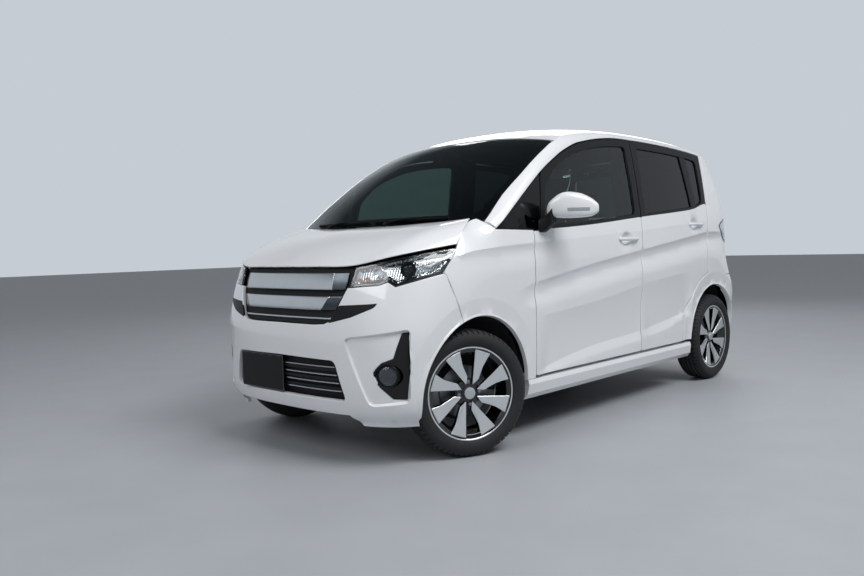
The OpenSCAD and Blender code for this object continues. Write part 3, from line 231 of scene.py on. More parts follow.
for ray in ("Is Glossy Ray", "Is Transmission Ray"):
    seen = add(sky, "ShaderNodeMath", {0: seen, 1: path[ray]}, operation="MAXIMUM").outputs[0]
mixed = add(sky, "ShaderNodeMixShader", {0: seen, 1: soft_light.outputs[0], 2: pale_wall.outputs[0]})
add(sky, "ShaderNodeOutputWorld", {"Surface": mixed.outputs[0]})
scene.world = world
print("sky nodes:", len(sky.nodes))

# %% Floor and lamps
# Sealed concrete: pale grey, clouded over hand widths, with a dull shine
floor_finish = finish_of("studio_floor", "#a9adb2", 0.5, 300, second="#a6aaaf")
floor_mesh = bpy.data.meshes.new("studio_floor")
reach = 40.0
corners = [(-reach, -reach, 0), (reach, -reach, 0), (reach, reach, 0), (-reach, reach, 0)]
floor_mesh.from_pydata(corners, [], [(0, 1, 2, 3)])
floor_mesh.materials.append(floor_finish)
studio_floor = bpy.data.objects.new("studio_floor", floor_mesh)
scene.collection.objects.link(studio_floor)

# Lamps: name, place, aim, width, height, watts
for name, place, aim, wide, tall, watts in (
        ("lamp_above", (0.6, 4.4, 5.8), (0, 0.3, 0.7), 4.5, 2.6, 330),
        ("lamp_front", (6.0, 0.4, 4.0), (1.0, 0.2, 0.7), 3.5, 2.5, 95),
        ("lamp_behind", (-5.0, -3.0, 4.0), (-0.6, 0, 0.9), 4.0, 2.5, 90)):
    lamp = bpy.data.objects.new(name, bpy.data.lights.new(name, "AREA"))
    lamp.data.shape = "RECTANGLE"
    lamp.data.size, lamp.data.size_y, lamp.data.energy = wide, tall, watts
    lamp.location = place
    lamp.rotation_euler = (Vector(aim) - Vector(place)).to_track_quat("-Z", "Y").to_euler()
    scene.collection.objects.link(lamp)
    print(name, "gives", watts, "W")

# %% [markdown]
# ## The body form
# The body is one smooth form: a half width for each station and height, rounded into the nose and
# the tail, with the creases and wheel-arch flares as small relief on it. The CAD model is made the same
# way, so most panels lie on its solids. The roof's middle and the screen have a table of their own here,
# fitted to the photograph's outline, and lie up to about 50 mm lower than the solids. All sizes are
# millimetres.

# %% Sizes and lines
car_length, car_width, car_height = 3395.0, 1475.0, 1620.0
wheelbase, front_overhang, tyre_diameter = 2430.0, 545.0, 562.0
half_w, nose_x = car_width / 2, car_length / 2
axle_f = nose_x - front_overhang
axle_r = axle_f - wheelbase
axle_z = tyre_diameter / 2
arch_radius, panel_gap = 340.0, 6.0
# Wheel arches: middle along the car, height, radius
front_arch = (axle_f - 20, axle_z + 3, arch_radius - 5)
rear_arch = (axle_r - 2, axle_z + 10, arch_radius)
door_front = axle_f - 422
door_mid = door_front - 1032 - panel_gap / 2
door_rear = door_mid - panel_gap / 2 - 860
door_bottom = 296.0

# Lines along the side: x from the front axle, height
SHOULDER = [[-2852, 1078], [-2317, 1050], [-1457, 990], [-621, 944], [-397, 932], [-6, 907], [146, 877],
            [548, 820]]
MID_CREASE = [[-2315, 976], [-1453, 877], [-888, 811], [-414, 742], [-242, 703]]
LOW_CREASE = [[-1950, 724], [-1447, 679], [-980, 623], [-341, 572]]
SILL_CREASE = [[-1972, 468], [-1453, 412], [-886, 378], [-438, 313]]
BELT = [[-2333, 1165], [-2200, 1140], [-2135, 1121], [-1472, 1067], [-1388, 1060], [-872, 1018], [-418, 997],
        [-150, 1004]]
# Height, drop inside the widest plane
INSET = [[190, 44], [215, 28], [260, 16], [330, 11], [480, 8], [650, 6.5], [800, 6], [1080, 6.5]]
# Height, distance behind the bumper's tip, fullness
NOSE = [[190, 62, 11], [215, 30, 11], [300, 8, 11], [420, 0.3, 11], [560, 6, 11], [700, 28, 9.8],
        [800, 50, 8.6], [870, 70, 7.8], [930, 98, 7]]
TAIL = [[190, 58, 32], [260, 18, 32], [420, 0.8, 32], [600, 6, 32], [690, 24, 23], [800, 42, 17],
        [950, 58, 16], [1100, 86, 16], [1300, 142, 16], [1500, 220, 16], [1560, 258, 16]]
CORNER = 2.5
nose_from, tail_from = axle_f - 852, axle_r + 677
# Roof side: x of the lower line, its drop from the crown, x of the upper line, its inset, its drop
RAIL = [[-2588, 170, -2600, 212, 108], [-2549, 167, -2560, 208.5, 103.4], [-2450, 160, -2460, 200, 92],
        [-2357, 146, -2380, 197, 80], [-2168, 129, -2172, 192, 63], [-1854, 114, -1854, 187, 45],
        [-1489, 109, -1489, 184, 38], [-1212, 118, -1202, 182, 38], [-913, 166, -882, 175, 64],
        [-778, 213, -735, 167, 103.4], [-713, 242, -662, 162, 134], [-533, 342, -452, 145, 268],
        [-332, 482, -272, 129, 412], [-152, 617, -101, 103, 560]]
# x, share of the roof side's width that is painted band, rise of the middle above the band, its push forward
CROWN = [[-2600, 1.0, 23, 0], [-2300, 0.8, 42, 0], [-1800, 0.6, 57, 0], [-1500, 0.53, 58, 0],
         [-1200, 0.48, 56, 3], [-900, 0.46, 56, 13], [-735, 0.46, 51, 26], [-600, 0.46, 39, 42],
         [-400, 0.48, 16, 66], [-250, 0.58, 2, 80], [-101, 0.58, 2, 100]]
print("axles at", axle_f, "and", axle_r, "mm")

# %% Curves through the tables


def ease(a, b, t):
    """Rises smoothly from 0 at a to 1 at b."""
    s = np.clip((np.asarray(t, float) - a) / (b - a), 0, 1)
    return s * s * (3 - 2 * s)


def curve(table, t, column=1):
    """Smooth value of a column at key t, flat beyond the ends."""
    tab = np.asarray(table, float)
    keys, values = tab[:, 0], tab[:, column]
    slope = np.empty(len(keys))
    slope[1:-1] = (values[2:] - values[:-2]) / (keys[2:] - keys[:-2])
    slope[0] = (values[1] - values[0]) / (keys[1] - keys[0])
    slope[-1] = (values[-1] - values[-2]) / (keys[-1] - keys[-2])
    t = np.asarray(t, float)
    i = np.clip(np.searchsorted(keys, t, side="right") - 1, 0, len(keys) - 2)
    h = keys[i + 1] - keys[i]
    s = np.clip((t - keys[i]) / h, 0, 1)
    return (values[i] * (2 * s**3 - 3 * s**2 + 1) + h * slope[i] * (s**3 - 2 * s**2 + s)
            + values[i + 1] * (3 * s**2 - 2 * s**3) + h * slope[i + 1] * (s**3 - s**2))


def line(table, x):
    """Height of a line along the side at x."""
    return curve(table, np.asarray(x, float) - axle_f)


# %% Half width of the body
# An end of the car: its table, where its rounding starts, 1 for the nose or -1 for the tail
nose_end, tail_end = (NOSE, nose_from, 1), (TAIL, tail_from, -1)
# Above the shoulder: the side's inset, its lean, what the front leans more, its bow
shoulder_in, side_lean, front_lean, side_bow = 6.3, 0.10, 0.44, 0.000105
# The roll over to the bonnet: its bow and the height where it starts
roll_bow, roll_z = 0.0075, 980
tuck_deep = 30


def tip_at(end, z):
    """The furthest point of an end at a height."""
    return end[2] * (nose_x - curve(end[0], z))


def tuck(x, z):
    """The upper rear corner draws in behind the rear doors."""
    return tuck_deep * (1 - ease(-1480, -1190, x)) * ease(1230, 1470, z)


def form_y(x, z):
    """Half width before the ends are rounded: upright to the shoulder line, leaning in above it."""
    x, z = np.broadcast_arrays(np.asarray(x, float), np.asarray(z, float))
    u = x - axle_f
    over = np.maximum(0, z - line(SHOULDER, x))
    lean = side_lean + front_lean * ease(-202, -2, u)
    rolled = roll_bow * np.maximum(0, z - roll_z) ** 2 * ease(-202, -102, u)
    above = half_w - shoulder_in - lean * over - side_bow * over**2 - rolled
    return np.where(over <= 0, half_w - curve(INSET, z), above) - tuck(x, z)


def end_plan(end, x, z):
    """Share of the half width that is left towards a rounded end."""
    table, start, _ = end
    f = np.clip((x - start) / (tip_at(end, z) - start), 0, 1)
    return (1 - f ** curve(table, z, 2)) ** (1 / CORNER)


# %% Relief on the side
flare_width, flare_deep, lip_out, lip_share = 78.0, 8.0, 5.0, 0.12
mid_deep, mid_tall, shoulder_deep, shoulder_tall = 13.0, 125.0, 6.5, 90.0
low_fall, blade_tall, blade_out = 24.0, 50.0, 12.0
# Rounded rear end of the low field: its place from the front axle, its length, where it starts, its height
rear_end_u, round_long, round_z, round_tall = -2097.0, 127, 564, 159
# Where the lower hinges lie under the door's skin: x, how far the skin is let out there
hinge_room = [[door_front - 30, 2.0], [door_mid - panel_gap / 2 - 30, 10.0]]
hinge_low, hinge_long, hinge_tall = 425.0, 55.0, 85.0


def undercut(s):
    """A hollow of depth one under a crease, steep at the crease and fading out below."""
    s = np.clip(s, 0, 1)
    return 6.75 * s * (1 - s) ** 2


def flare(x, z, arch):
    """A chamfer round the wheel opening, which turns out again in a narrow lip."""
    t = np.clip((np.hypot(x - arch[0], z - arch[1]) - arch[2]) / flare_width, 0, 1)
    chamfer = -flare_deep * (1 - t) / (1 - lip_share)
    return np.where(t > lip_share, chamfer, -flare_deep + lip_out * (lip_share - t) / lip_share)


def low_relief(x, z):
    """The field below the low crease falls back evenly, the bright blade at its foot turns out again."""
    top, low = line(LOW_CREASE, x), line(SILL_CREASE, x)
    u = x - axle_f
    round_share = np.clip((z - round_z) / round_tall, 0, 0.999)
    round_end = rear_end_u + round_long * (1 - np.sqrt(1 - round_share ** 2))
    fade = np.clip((u - round_end) / 45, 0, 1) * (1 - ease(-560, -400, u))
    blade = blade_tall * ease(-1990, -1800, u) * (1 - 0.45 * ease(-900, -430, u)) + 6
    field = -low_fall * (1 - ((z - low) / (top - low)) ** 2)
    turned_out = np.where(z >= low - blade, -low_fall + blade_out * (low - z) / blade, -low_fall + blade_out)
    return np.where(z >= top, 0, np.where(z >= low, field, turned_out)) * fade


def relief(x, z):
    """All that departs from the plain form: two creases, the low field and the arches."""
    u = x - axle_f
    mid = undercut((line(MID_CREASE, x) - z) / mid_tall) * (1 - ease(-500, -242, u)) * ease(-2650, -2400, u)
    room = sum(r * np.exp(-((x - h) / hinge_long) ** 2 - ((z - hinge_low) / hinge_tall) ** 2)
               for h, r in hinge_room)
    shoulder = undercut((line(SHOULDER, x) - z) / shoulder_tall)
    shoulder = shoulder * ease(-620, -350, u) * (1 - ease(100, 200, u))
    arches = np.minimum(flare(x, z, front_arch), flare(x, z, rear_arch))
    return -mid_deep * mid + np.minimum(0, low_relief(x, z) + room) - shoulder_deep * shoulder + arches


def side_y(x, z):
    """Half width of the finished side."""
    x, z = np.broadcast_arrays(np.asarray(x, float), np.asarray(z, float))
    return form_y(x, z) * end_plan(nose_end, x, z) * end_plan(tail_end, x, z) + relief(x, z)


print("half width at the front axle:", round(float(side_y(axle_f, 700)), 1), "mm")

# %% [markdown]
# ## Surfaces as maps
# Each panel is drawn flat first, in two coordinates that are close to millimetres on the metal, and
# then carried onto the form by a map: the side from length and height, the nose and the tail from an
# angle round the corner, the bonnet and roof from shares between their edges.

# %% Maps from flat drawings to the body
corner_mm = 12.0  # drawn millimetres for each degree round an end


def on_side(p):
    return np.stack([p[:, 0], side_y(p[:, 0], p[:, 1]), p[:, 1]], 1)


def set_in(d):
    """The side's map, set in by d."""
    return lambda p: on_side(p) - [0, d, 0]


def bow(angle, power):
    """A cosine whose circle is squared by a power below one."""
    c = np.cos(angle)
    return np.sign(c) * np.abs(c) ** power


def end_point(end, t, z, d=0.0):
    """Point of an end, t degrees round from the side and set in by d."""
    table, start, way = end
    t = np.radians(t)
    x = start + (tip_at(end, z) - way * d - start) * np.abs(np.sin(t)) ** (2 / curve(table, z, 2))
    return np.stack([x, (form_y(x, z) - d) * bow(t, 2 / CORNER), z + 0 * x], -1)


def on_nose(p, d=0.0):
    return end_point(nose_end, 90 - p[:, 0] / corner_mm, p[:, 1], d)


def on_tail(p, d=0.0):
    return end_point(tail_end, 90 - p[:, 0] / corner_mm, p[:, 1], d)


# %% From places back to a drawing


def flat_from_y(end, points):
    """Flat place on an end of points given across the car and up, found by a few rounds of trial."""
    table, start, way = end
    y, z = np.asarray(points, float).T
    x = tip_at(end, z) - way * 40
    for _ in range(6):
        angle = np.arccos(np.clip((np.abs(y) / form_y(x, z)) ** (CORNER / 2), 0, 1))
        x = start + (tip_at(end, z) - start) * np.sin(angle) ** (2 / curve(table, z, 2))
    return [[a, b] for a, b in zip(np.sign(y) * corner_mm * (90 - np.degrees(angle)), z)]


def flat_from_x(end, points):
    """Flat place on the left of an end of points given along the car and up."""
    table, start, _ = end
    x, z = np.asarray(points, float).T
    share = np.clip((x - start) / (tip_at(end, z) - start), 0, 1)
    angle = np.arcsin(share ** (curve(table, z, 2) / 2))
    return [[a, b] for a, b in zip(corner_mm * (90 - np.degrees(angle)), z)]


def nose_from_y(points):
    return flat_from_y(nose_end, points)


def nose_from_x(points):
    return flat_from_x(nose_end, points)


def flipped(loop):
    """The same drawing on the other side of the middle line."""
    return [[-a, b] for a, b in reversed(loop)]


def mirrored(half):
    """A closed outline from its left half, which runs from the middle line to the middle line."""
    return list(half) + [[a, b] for a, b in flipped(half) if abs(a) > 1e-6]


def both_sides(lines):
    """Open lines on the left, and the same on the right."""
    return lines + [[[-a, b] for a, b in one] for one in lines]


print("tip of the nose at", round(float(tip_at(nose_end, 420)), 1), "mm")

# %% [markdown]
# ## One tool for every pressed panel
# A pressed panel is a skin with a rolled edge and a flange behind it. The drawing is triangulated
# with its outline, its openings and its creases as fixed lines, so that the mesh bends exactly where
# the metal does. Then the skin is carried onto the form, its edge is rolled by a few millimetres and
# an inner layer closes it.

# %% Lines and outlines


def spread(points, step, closed=True):
    """More points along a line, no further apart than step."""
    pts = [np.asarray(p, float) for p in points]
    pairs = list(zip(pts, pts[1:] + pts[:1])) if closed else list(zip(pts, pts[1:]))
    out = []
    for a, b in pairs:
        n = max(1, round(float(np.linalg.norm(b - a)) / step))
        out += [a + (b - a) * k / n for k in range(n)]
    return np.array(out if closed else out + [pts[-1]])


def rectangle(x0, y0, x1, y1):
    return [[x0, y0], [x1, y0], [x1, y1], [x0, y1]]


def loop_line(loop):
    """A closed outline as an open line that comes back to its start."""
    return list(loop) + [loop[0]]


def rounded(points, radius, n=4):
    """A closed outline with its corners rounded."""
    pts = [np.asarray(p, float) for p in points]
    out = []
    for before, at, after in zip(pts[-1:] + pts[:-1], pts, pts[1:] + pts[:1]):
        ends = []
        for other in (before, after):
            run = np.linalg.norm(other - at)
            ends.append(at + (other - at) * min(radius, 0.45 * run) / max(run, 1e-9))
        for k in range(n + 1):
            t = k / n
            out.append((1 - t) ** 2 * ends[0] + 2 * t * (1 - t) * at + t * t * ends[1])
    return out


# %% Triangles of a drawing


def inside(points, loop):
    """Which points lie inside a closed outline."""
    x, y = points[:, 0], points[:, 1]
    hit = np.zeros(len(points), bool)
    loop = np.asarray(loop, float)
    for (x1, y1), (x2, y2) in zip(loop, np.roll(loop, -1, 0)):
        with np.errstate(divide="ignore", invalid="ignore"):
            hit ^= ((y1 > y) != (y2 > y)) & (x < (x2 - x1) * (y - y1) / (y2 - y1) + x1)
    return hit


def far_from(points, others, reach):
    """Which points keep more than a reach from all others."""
    if not len(points) or not len(others):
        return np.ones(len(points), bool)
    return np.array([np.min(np.hypot(*(others - p).T)) > reach for p in points])


def flat_mesh(outline, holes, lines, step):
    """Points and triangles of a drawing, with its edges and lines kept and a grid of step between them."""
    loops = [spread(outline, step * 0.6)] + [spread(h, step * 0.5) for h in holes]
    verts, edges = [], []
    for loop in loops:
        edges += [(len(verts) + i, len(verts) + (i + 1) % len(loop)) for i in range(len(loop))]
        verts += list(loop)
    rim = np.array(verts)

    def within(p):
        ok = inside(p, loops[0])
        for hole in loops[1:]:
            ok &= ~inside(p, hole)
        return ok

    for one in lines:
        pts = spread(one, step * 0.6, closed=False)
        ok = within(pts) & far_from(pts, rim, step * 0.3)
        last = None
        for p, good in zip(pts, ok):
            if good:
                verts.append(p)
                if last is not None:
                    edges.append((last, len(verts) - 1))
            last = len(verts) - 1 if good else None
    low, high = rim.min(0), rim.max(0)
    xs, ys = np.arange(low[0], high[0], step), np.arange(low[1], high[1], step)
    grid = np.array([[a + (step / 2 if j % 2 else 0), b] for j, b in enumerate(ys) for a in xs])
    grid = grid[within(grid)]
    grid = grid[far_from(grid, np.array(verts), step * 0.55)]
    verts += list(grid)
    made = delaunay_2d_cdt([Vector(v) for v in verts], edges, [], 0, 1e-4)
    flat = np.array([[v.x, v.y] for v in made[0]])
    tris = np.array(made[2])
    tris = tris[within(flat[tris].mean(1))]
    one, two = flat[tris[:, 1]] - flat[tris[:, 0]], flat[tris[:, 2]] - flat[tris[:, 0]]
    tris = tris[np.abs(one[:, 0] * two[:, 1] - one[:, 1] * two[:, 0]) > 0.02]
    used = np.unique(tris)
    back = np.full(len(flat), -1)
    back[used] = np.arange(len(used))
    return flat[used], back[tris]


def new_piece(name, verts, faces, body, finishes, picks=None, sharp=40, solid=False):
    """A mesh object in metres from points in millimetres, riding on a body.

    picks gives each face's finish, and solid turns the faces outwards."""
    mesh = bpy.data.meshes.new(name)
    mesh.from_pydata([tuple(v) for v in np.asarray(verts, float) * MM], [],
                     [tuple(int(i) for i in f) for f in faces])
    for finish in finishes:
        mesh.materials.append(finish)
    if picks is not None:
        mesh.polygons.foreach_set("material_index", [int(i) for i in picks])
    mesh.polygons.foreach_set("use_smooth", [True] * len(mesh.polygons))
    if solid:
        edit = bmesh.new()
        edit.from_mesh(mesh)
        bmesh.ops.recalc_face_normals(edit, faces=edit.faces)
        edit.to_mesh(mesh)
        edit.free()
    mesh.set_sharp_from_angle(angle=math.radians(sharp))
    mesh.update()
    piece = bpy.data.objects.new(name, mesh)
    scene.collection.objects.link(piece)
    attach(piece, body)
    print("%s: %d faces on %s" % (name, len(faces), body))
    return piece


# %% Pressed panel
body_middle = np.array([0.0, 0.0, 700.0])


def unit(v):
    return v / np.maximum(np.linalg.norm(v, axis=-1, keepdims=True), 1e-9)


def face_normals(surface, flat, reach):
    """Normals of a map, taken over a given reach: a long one passes over creases and dents."""
    across = surface(flat + [reach, 0]) - surface(flat - [reach, 0])
    upwards = surface(flat + [0, reach]) - surface(flat - [0, reach])
    return unit(np.cross(across, upwards))


def panel(name, body, finishes, surface, outline, holes=(), lines=(), depth=20.0, pick=None, step=34.0,
          hem=2.5, side=1, inner_pick=None, replaces=()):
    """A closed pressed panel. side is 1 left, -1 right, 0 both; depth is a number or a function of the flat
    places; pick chooses the finish."""
    flat, tris = flat_mesh(outline, holes, lines, step)
    place = surface(flat)
    normal = face_normals(surface, flat, 0.5)
    deep_normal = face_normals(surface, flat, 45) if callable(depth) else normal
    if np.mean(np.sum(normal * (place - body_middle), 1)) < 0:
        normal, deep_normal = -normal, -deep_normal
    facing = np.cross(place[tris[:, 1]] - place[tris[:, 0]], place[tris[:, 2]] - place[tris[:, 0]])
    if np.sum(facing * normal[tris[:, 0]]) < 0:
        tris = tris[:, ::-1]
    ways = {(a, b) for t in tris for a, b in ((t[0], t[1]), (t[1], t[2]), (t[2], t[0]))}
    after = {a: b for a, b in ways if (b, a) not in ways}
    before = {b: a for a, b in after.items()}
    rim = np.array(sorted(after))
    step_in = unit(place[rim] - place[[before[i] for i in rim]])
    step_out = unit(place[[after[i] for i in rim]] - place[rim])
    out_a, out_b = np.cross(step_in, normal[rim]), np.cross(step_out, normal[rim])
    out = unit(out_a + out_b)
    out /= np.maximum(0.5, np.sum(out * out_b, 1))[:, None]
    thick = depth(flat) if callable(depth) else np.full(len(flat), float(depth))
    edge, n_edge = place[rim], normal[rim]
    count, m = len(flat), len(rim)
    rings = [edge - out * hem]
    for k in (1, 2, 3):
        a = math.radians(30 * k)
        rings.append(edge - out * hem * (1 - math.sin(a)) - n_edge * hem * (1 - math.cos(a)))
    inner = place - deep_normal * thick[:, None]
    outer = place.copy()
    outer[rim] = edge - out * (hem + 3)
    verts = np.concatenate([outer] + rings + [inner])
    slot = {int(v): i for i, v in enumerate(rim)}
    faces, where, part = [list(t) for t in tris], list(flat[tris].mean(1)), [0] * len(tris)
    for a, b in after.items():
        i, j = slot[int(a)], slot[int(b)]
        levels = [(a, b)] + [(count + k * m + i, count + k * m + j) for k in range(4)]
        levels.append((count + 4 * m + a, count + 4 * m + b))
        for k, ((a0, b0), (a1, b1)) in enumerate(zip(levels, levels[1:])):
            faces.append([b0, a0, a1, b1])
            where.append((flat[a] + flat[b]) / 2)
            part.append(0 if k < 4 else 1)
    base = count + 4 * m
    faces += [[base + t[2], base + t[1], base + t[0]] for t in tris]
    where += list(flat[tris].mean(1))
    part += [2] * len(tris)
    picks = pick(np.array(where)) if pick else np.zeros(len(where), int)
    if inner_pick is not None:
        picks = np.where(np.array(part) == 2, inner_pick, picks)
    if side < 1:
        other = [[i + (0 if side else len(verts)) for i in f[::-1]] for f in faces]
        flipped = verts * [1, -1, 1]
        verts = flipped if side else np.concatenate([verts, flipped])
        faces = other if side else faces + other
        picks = picks if side else np.concatenate([picks, picks])
    made = new_piece(name, verts, faces, body, finishes, picks)
    if replaces:
        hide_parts(*replaces)
    return made


# %% Lines round a wheel and along the side


def arc(circle, start, end, n=24):
    """Points of a circle given as (x, z, radius), between two angles."""
    angles = np.radians(np.linspace(start, end, n + 1))
    return [[circle[0] + circle[2] * math.cos(a), circle[1] + circle[2] * math.sin(a)] for a in angles]


def angle_at_x(circle, x):
    """Angle at which the upper half of a circle passes a place along the car."""
    return math.degrees(math.acos((x - circle[0]) / circle[2]))


def angle_at_z(circle, z):
    """Angle at which the front half of a circle passes a height."""
    return math.degrees(math.asin((z - circle[1]) / circle[2]))


def along(table, x0, x1, shift=0.0, n=24):
    """Points of a line along the side between two places, shifted up."""
    xs = np.linspace(x0, x1, n + 1)
    return [[x, z + shift] for x, z in zip(xs, line(table, xs))]


def crease(table, x0, x1):
    """A crease and its two near lines, which keep the bend tight."""
    return [along(table, x0, x1, shift) for shift in (-4, 0, 5)]


def arch_lines(arch, start, end):
    """The root of the arch's lip and the outer edge of its chamfer with two near lines."""
    reaches = (lip_share * flare_width, flare_width - 3, flare_width, flare_width + 6)
    return [arc((arch[0], arch[1], arch[2] + r), start, end, 30) for r in reaches]


# %% [markdown]
# ## Front wings
# The wing runs from the door to the headlamp and carries the front arch. Its outline is the shut line
# to the door, the foot of the windscreen pillar, the bonnet line, the lamp and the bumper joint. It
# could be cut from a body mesh with booleans; drawing it flat keeps its edges clean.

# %% Front wings
# Outline from the door's foot round to the bumper, x from the front axle and height
WING = [[-416, 284.4], [-416, 994], [-148, 999], [-97, 1050], [-78, 1046], [-58, 1040], [-28, 1028],
        [3, 1010], [34, 985.5], [64, 952.5], [78, 935], [187, 819], [176, 805], [141, 710], [100, 615]]
wing_arc = arc(front_arch, angle_at_x(front_arch, axle_f + WING[-1][0]), 179.9)
wing_outline = [[axle_f + x, z] for x, z in WING] + wing_arc
wing_lines = (crease(SHOULDER, axle_f - 400, axle_f + 120) + crease(MID_CREASE, axle_f - 414, axle_f - 250)
              + arch_lines(front_arch, 60, 182))
panel("front_wings", "body", [pearl], on_side, wing_outline, lines=wing_lines, depth=18, side=0,
      replaces=["front_fenders"])

# %% [markdown]
# ## Doors
# A door is a deep pressing: painted skin below the belt, black frame above it, trim on the inside.
# Its outline is drawn as the CAD draws it. The creases are fixed lines, and the handle cup is a dent
# that the map itself makes, so that the paint flows into it.

# %% Door outlines
window_border = 42.0


def rail_low(x):
    return car_height - curve(RAIL, np.asarray(x, float) - axle_f, 1)


def rail_edge(x, d):
    return [x, float(rail_low(x)) - d]


def pillar_bar(z):
    return axle_f - (478 + 52 * (z - 1003) / 260)


def belt(x, d=16.0):
    return [x, float(line(BELT, x)) + d]


def under_rail(stations, d=panel_gap):
    """Points below the roof side's lower line, at stations from the front axle."""
    return [rail_edge(axle_f + u, d) for u in stations]


front_top, front_end = np.linspace(-545, -1320, 14), door_mid + panel_gap / 2
rear_end, rear_stop = door_mid - panel_gap / 2, -2168
quarter_r = arch_radius + 100
door_arch = (axle_r, axle_z, quarter_r + panel_gap)
rear_arc = arc(door_arch, angle_at_x(door_arch, door_rear), angle_at_z(door_arch, door_bottom))
glass_top = panel_gap + window_border
FRONT_DOOR = ([[door_front, door_bottom], [door_front, 990], [pillar_bar(990) - 3, 990],
               [pillar_bar(1240) - 3, 1240]] + under_rail(front_top)
              + [rail_edge(front_end, panel_gap), [front_end, door_bottom]])
REAR_DOOR = ([[rear_end, door_bottom], rail_edge(rear_end, panel_gap)]
             + under_rail(np.linspace(-1520, -2280, 12)) + [rail_edge(door_rear, panel_gap)] + rear_arc)
FRONT_WINDOW = ([[pillar_bar(1015) - 36.6, belt(axle_f - 478)[1]], [pillar_bar(1230) - 36.6, 1212]]
                + under_rail(front_top[2:], glass_top)
                + [rail_edge(door_mid + 68, glass_top), [door_mid + 60, belt(door_mid)[1]],
                   belt(axle_f - 872)])
REAR_WINDOW = ([[door_mid - 60, belt(door_mid)[1]], rail_edge(door_mid - 66, glass_top)]
               + under_rail(np.linspace(-1560, rear_stop, 9), glass_top)
               + [rail_edge(door_rear + 62, glass_top + 4), [door_rear + 50, 1200], [door_rear + 60, 1165],
                  belt(axle_f - 2135), belt(axle_f - 1800)])
DIVISION_BAR = [[-888.7, 1480], [-962.7, 1480], [-1040.4, 1100], [-966.4, 1100]]
print("front door:", round(door_front - front_end), "mm long")

# %% Door skins
# Handles: middle of the cup, cup half length and half height, lever from x to x at height z
HANDLES = {"front": [-125, 942, 58, 46, -42, -249, 942], "rear": [-977, 1026, 56, 44, -901, -1090, 1026]}
cup_deep, frame_thick, door_swell = 17.0, 40, 45


def door_map(which):
    cup_x, cup_z, half_x, half_z = HANDLES[which][:4]

    def place(p):
        out = on_side(p)
        r = np.hypot((p[:, 0] - cup_x) / half_x, (p[:, 1] - cup_z) / half_z)
        out[:, 1] -= cup_deep * (1 - ease(0.35, 1.0, r))
        return out
    return place


def door_depth(x0, x1):
    """Thickness of a door between its ends: thin at its edges and window frame, deep in the middle."""
    def depth(p):
        x, z = p[:, 0], p[:, 1]
        within = ease(120, 160, x - x0) * ease(120, 160, x1 - x) * ease(336, 386, z)
        return frame_thick + door_swell * within * (1 - ease(0, 1, (z - line(BELT, x) + 70) / 50))
    return depth


def cup_lines(which):
    x, z, a, b = HANDLES[which][:4]
    turns = np.linspace(0, 2 * math.pi, 29)
    return [[[x + k * a * math.cos(t), z + k * b * math.sin(t)] for t in turns]
            for k in (0.25, 0.5, 0.75, 1.0)]


def above_belt(p):
    return (p[:, 1] > line(BELT, p[:, 0])).astype(int)


ends_of_doors = (door_rear, door_front)
door_lines = [one for table in (MID_CREASE, LOW_CREASE, SILL_CREASE) for one in crease(table, *ends_of_doors)]
door_lines += [along(SILL_CREASE, *ends_of_doors, -k) for k in (34, 46, 58)]
door_lines += crease(SHOULDER, *ends_of_doors) + [along(BELT, *ends_of_doors)]
SIDES = (("left", 1), ("right", -1))
for side_name, side in SIDES:
    for which, outline, window, ends, glass in (
            ("front", FRONT_DOOR, FRONT_WINDOW, (front_end, door_front), screen_glass),
            ("rear", REAR_DOOR, REAR_WINDOW, (door_rear, rear_end), privacy_glass)):
        name = which + "_door_" + side_name
        panel(name + "_skin", name, [pearl, satin_black, dash_skin], door_map(which), rounded(outline, 14),
              [rounded(window, 26)], door_lines + cup_lines(which), door_depth(*ends), above_belt, side=side,
              inner_pick=2, replaces=[name])
        panel(name.replace("door", "pane"), name, [glass], set_in(9), rounded(window, 20), depth=4, hem=0.5,
              side=side, replaces=[name.replace("door", "glass")])
    panel("division_bar_" + side_name, "rear_door_" + side_name, [satin_black], set_in(2), DIVISION_BAR,
          depth=6, hem=1, side=side)

# %% [markdown]
# ## Roof side, roof and windscreen
# One band runs from the foot of the screen over the doors to the tailgate. Roof and screen span the
# space between the two bands. Their maps follow the same rows, blended smoothly along the car.

# %% Rail and span maps
# The same table, led by the upper line
RAIL_U = [[r[2], r[0], r[1], r[3], r[4]] for r in RAIL]
band_tall, span_half = 120.0, 560.0
# How far the band bows out, and which way
band_bow, band_way = 32, np.array([0, 0.72, 0.69])
# Power of the curve across roof and screen, and the screen's lean
span_power, screen_lean = 2.4, 0.62


def rail_lines(u):
    """Lower and upper edge of the band at upper station u."""
    xa, za = axle_f + curve(RAIL_U, u, 1), car_height - curve(RAIL_U, u, 2)
    a = np.stack([xa, side_y(xa, za), za], -1)
    yb = half_w - curve(RAIL_U, u, 3) - tuck(axle_f + u, 1500)
    b = np.stack([axle_f + u, yb, car_height - curve(RAIL_U, u, 4)], -1)
    return a, a + (b - a) * curve(CROWN, u)[..., None]


def on_rail(p):
    u, s = p[:, 0], p[:, 1] / band_tall
    a, b = rail_lines(u)
    return a + (b - a) * s[:, None] + band_bow * (s * (1 - s))[:, None] * band_way


def span(u, s, d=0.0):
    """Point of the roof or screen at station u and share s of the half width, set in by d."""
    b = rail_lines(u)[1]
    c = 1 - np.abs(s) ** span_power
    lean = screen_lean * ease(-1000, -600, u)
    return np.stack([b[..., 0] + curve(CROWN, u, 3) * c - d * lean, (b[..., 1] - 0.8) * s,
                     b[..., 2] + curve(CROWN, u, 2) * c - d * np.sqrt(1 - lean**2)], -1)


def on_span(p, d=0.0):
    return span(p[:, 0], p[:, 1] / span_half, d)


print("middle of the roof at", round(float(on_span(np.array([[-1500.0, 0.0]]))[0, 2])), "mm")

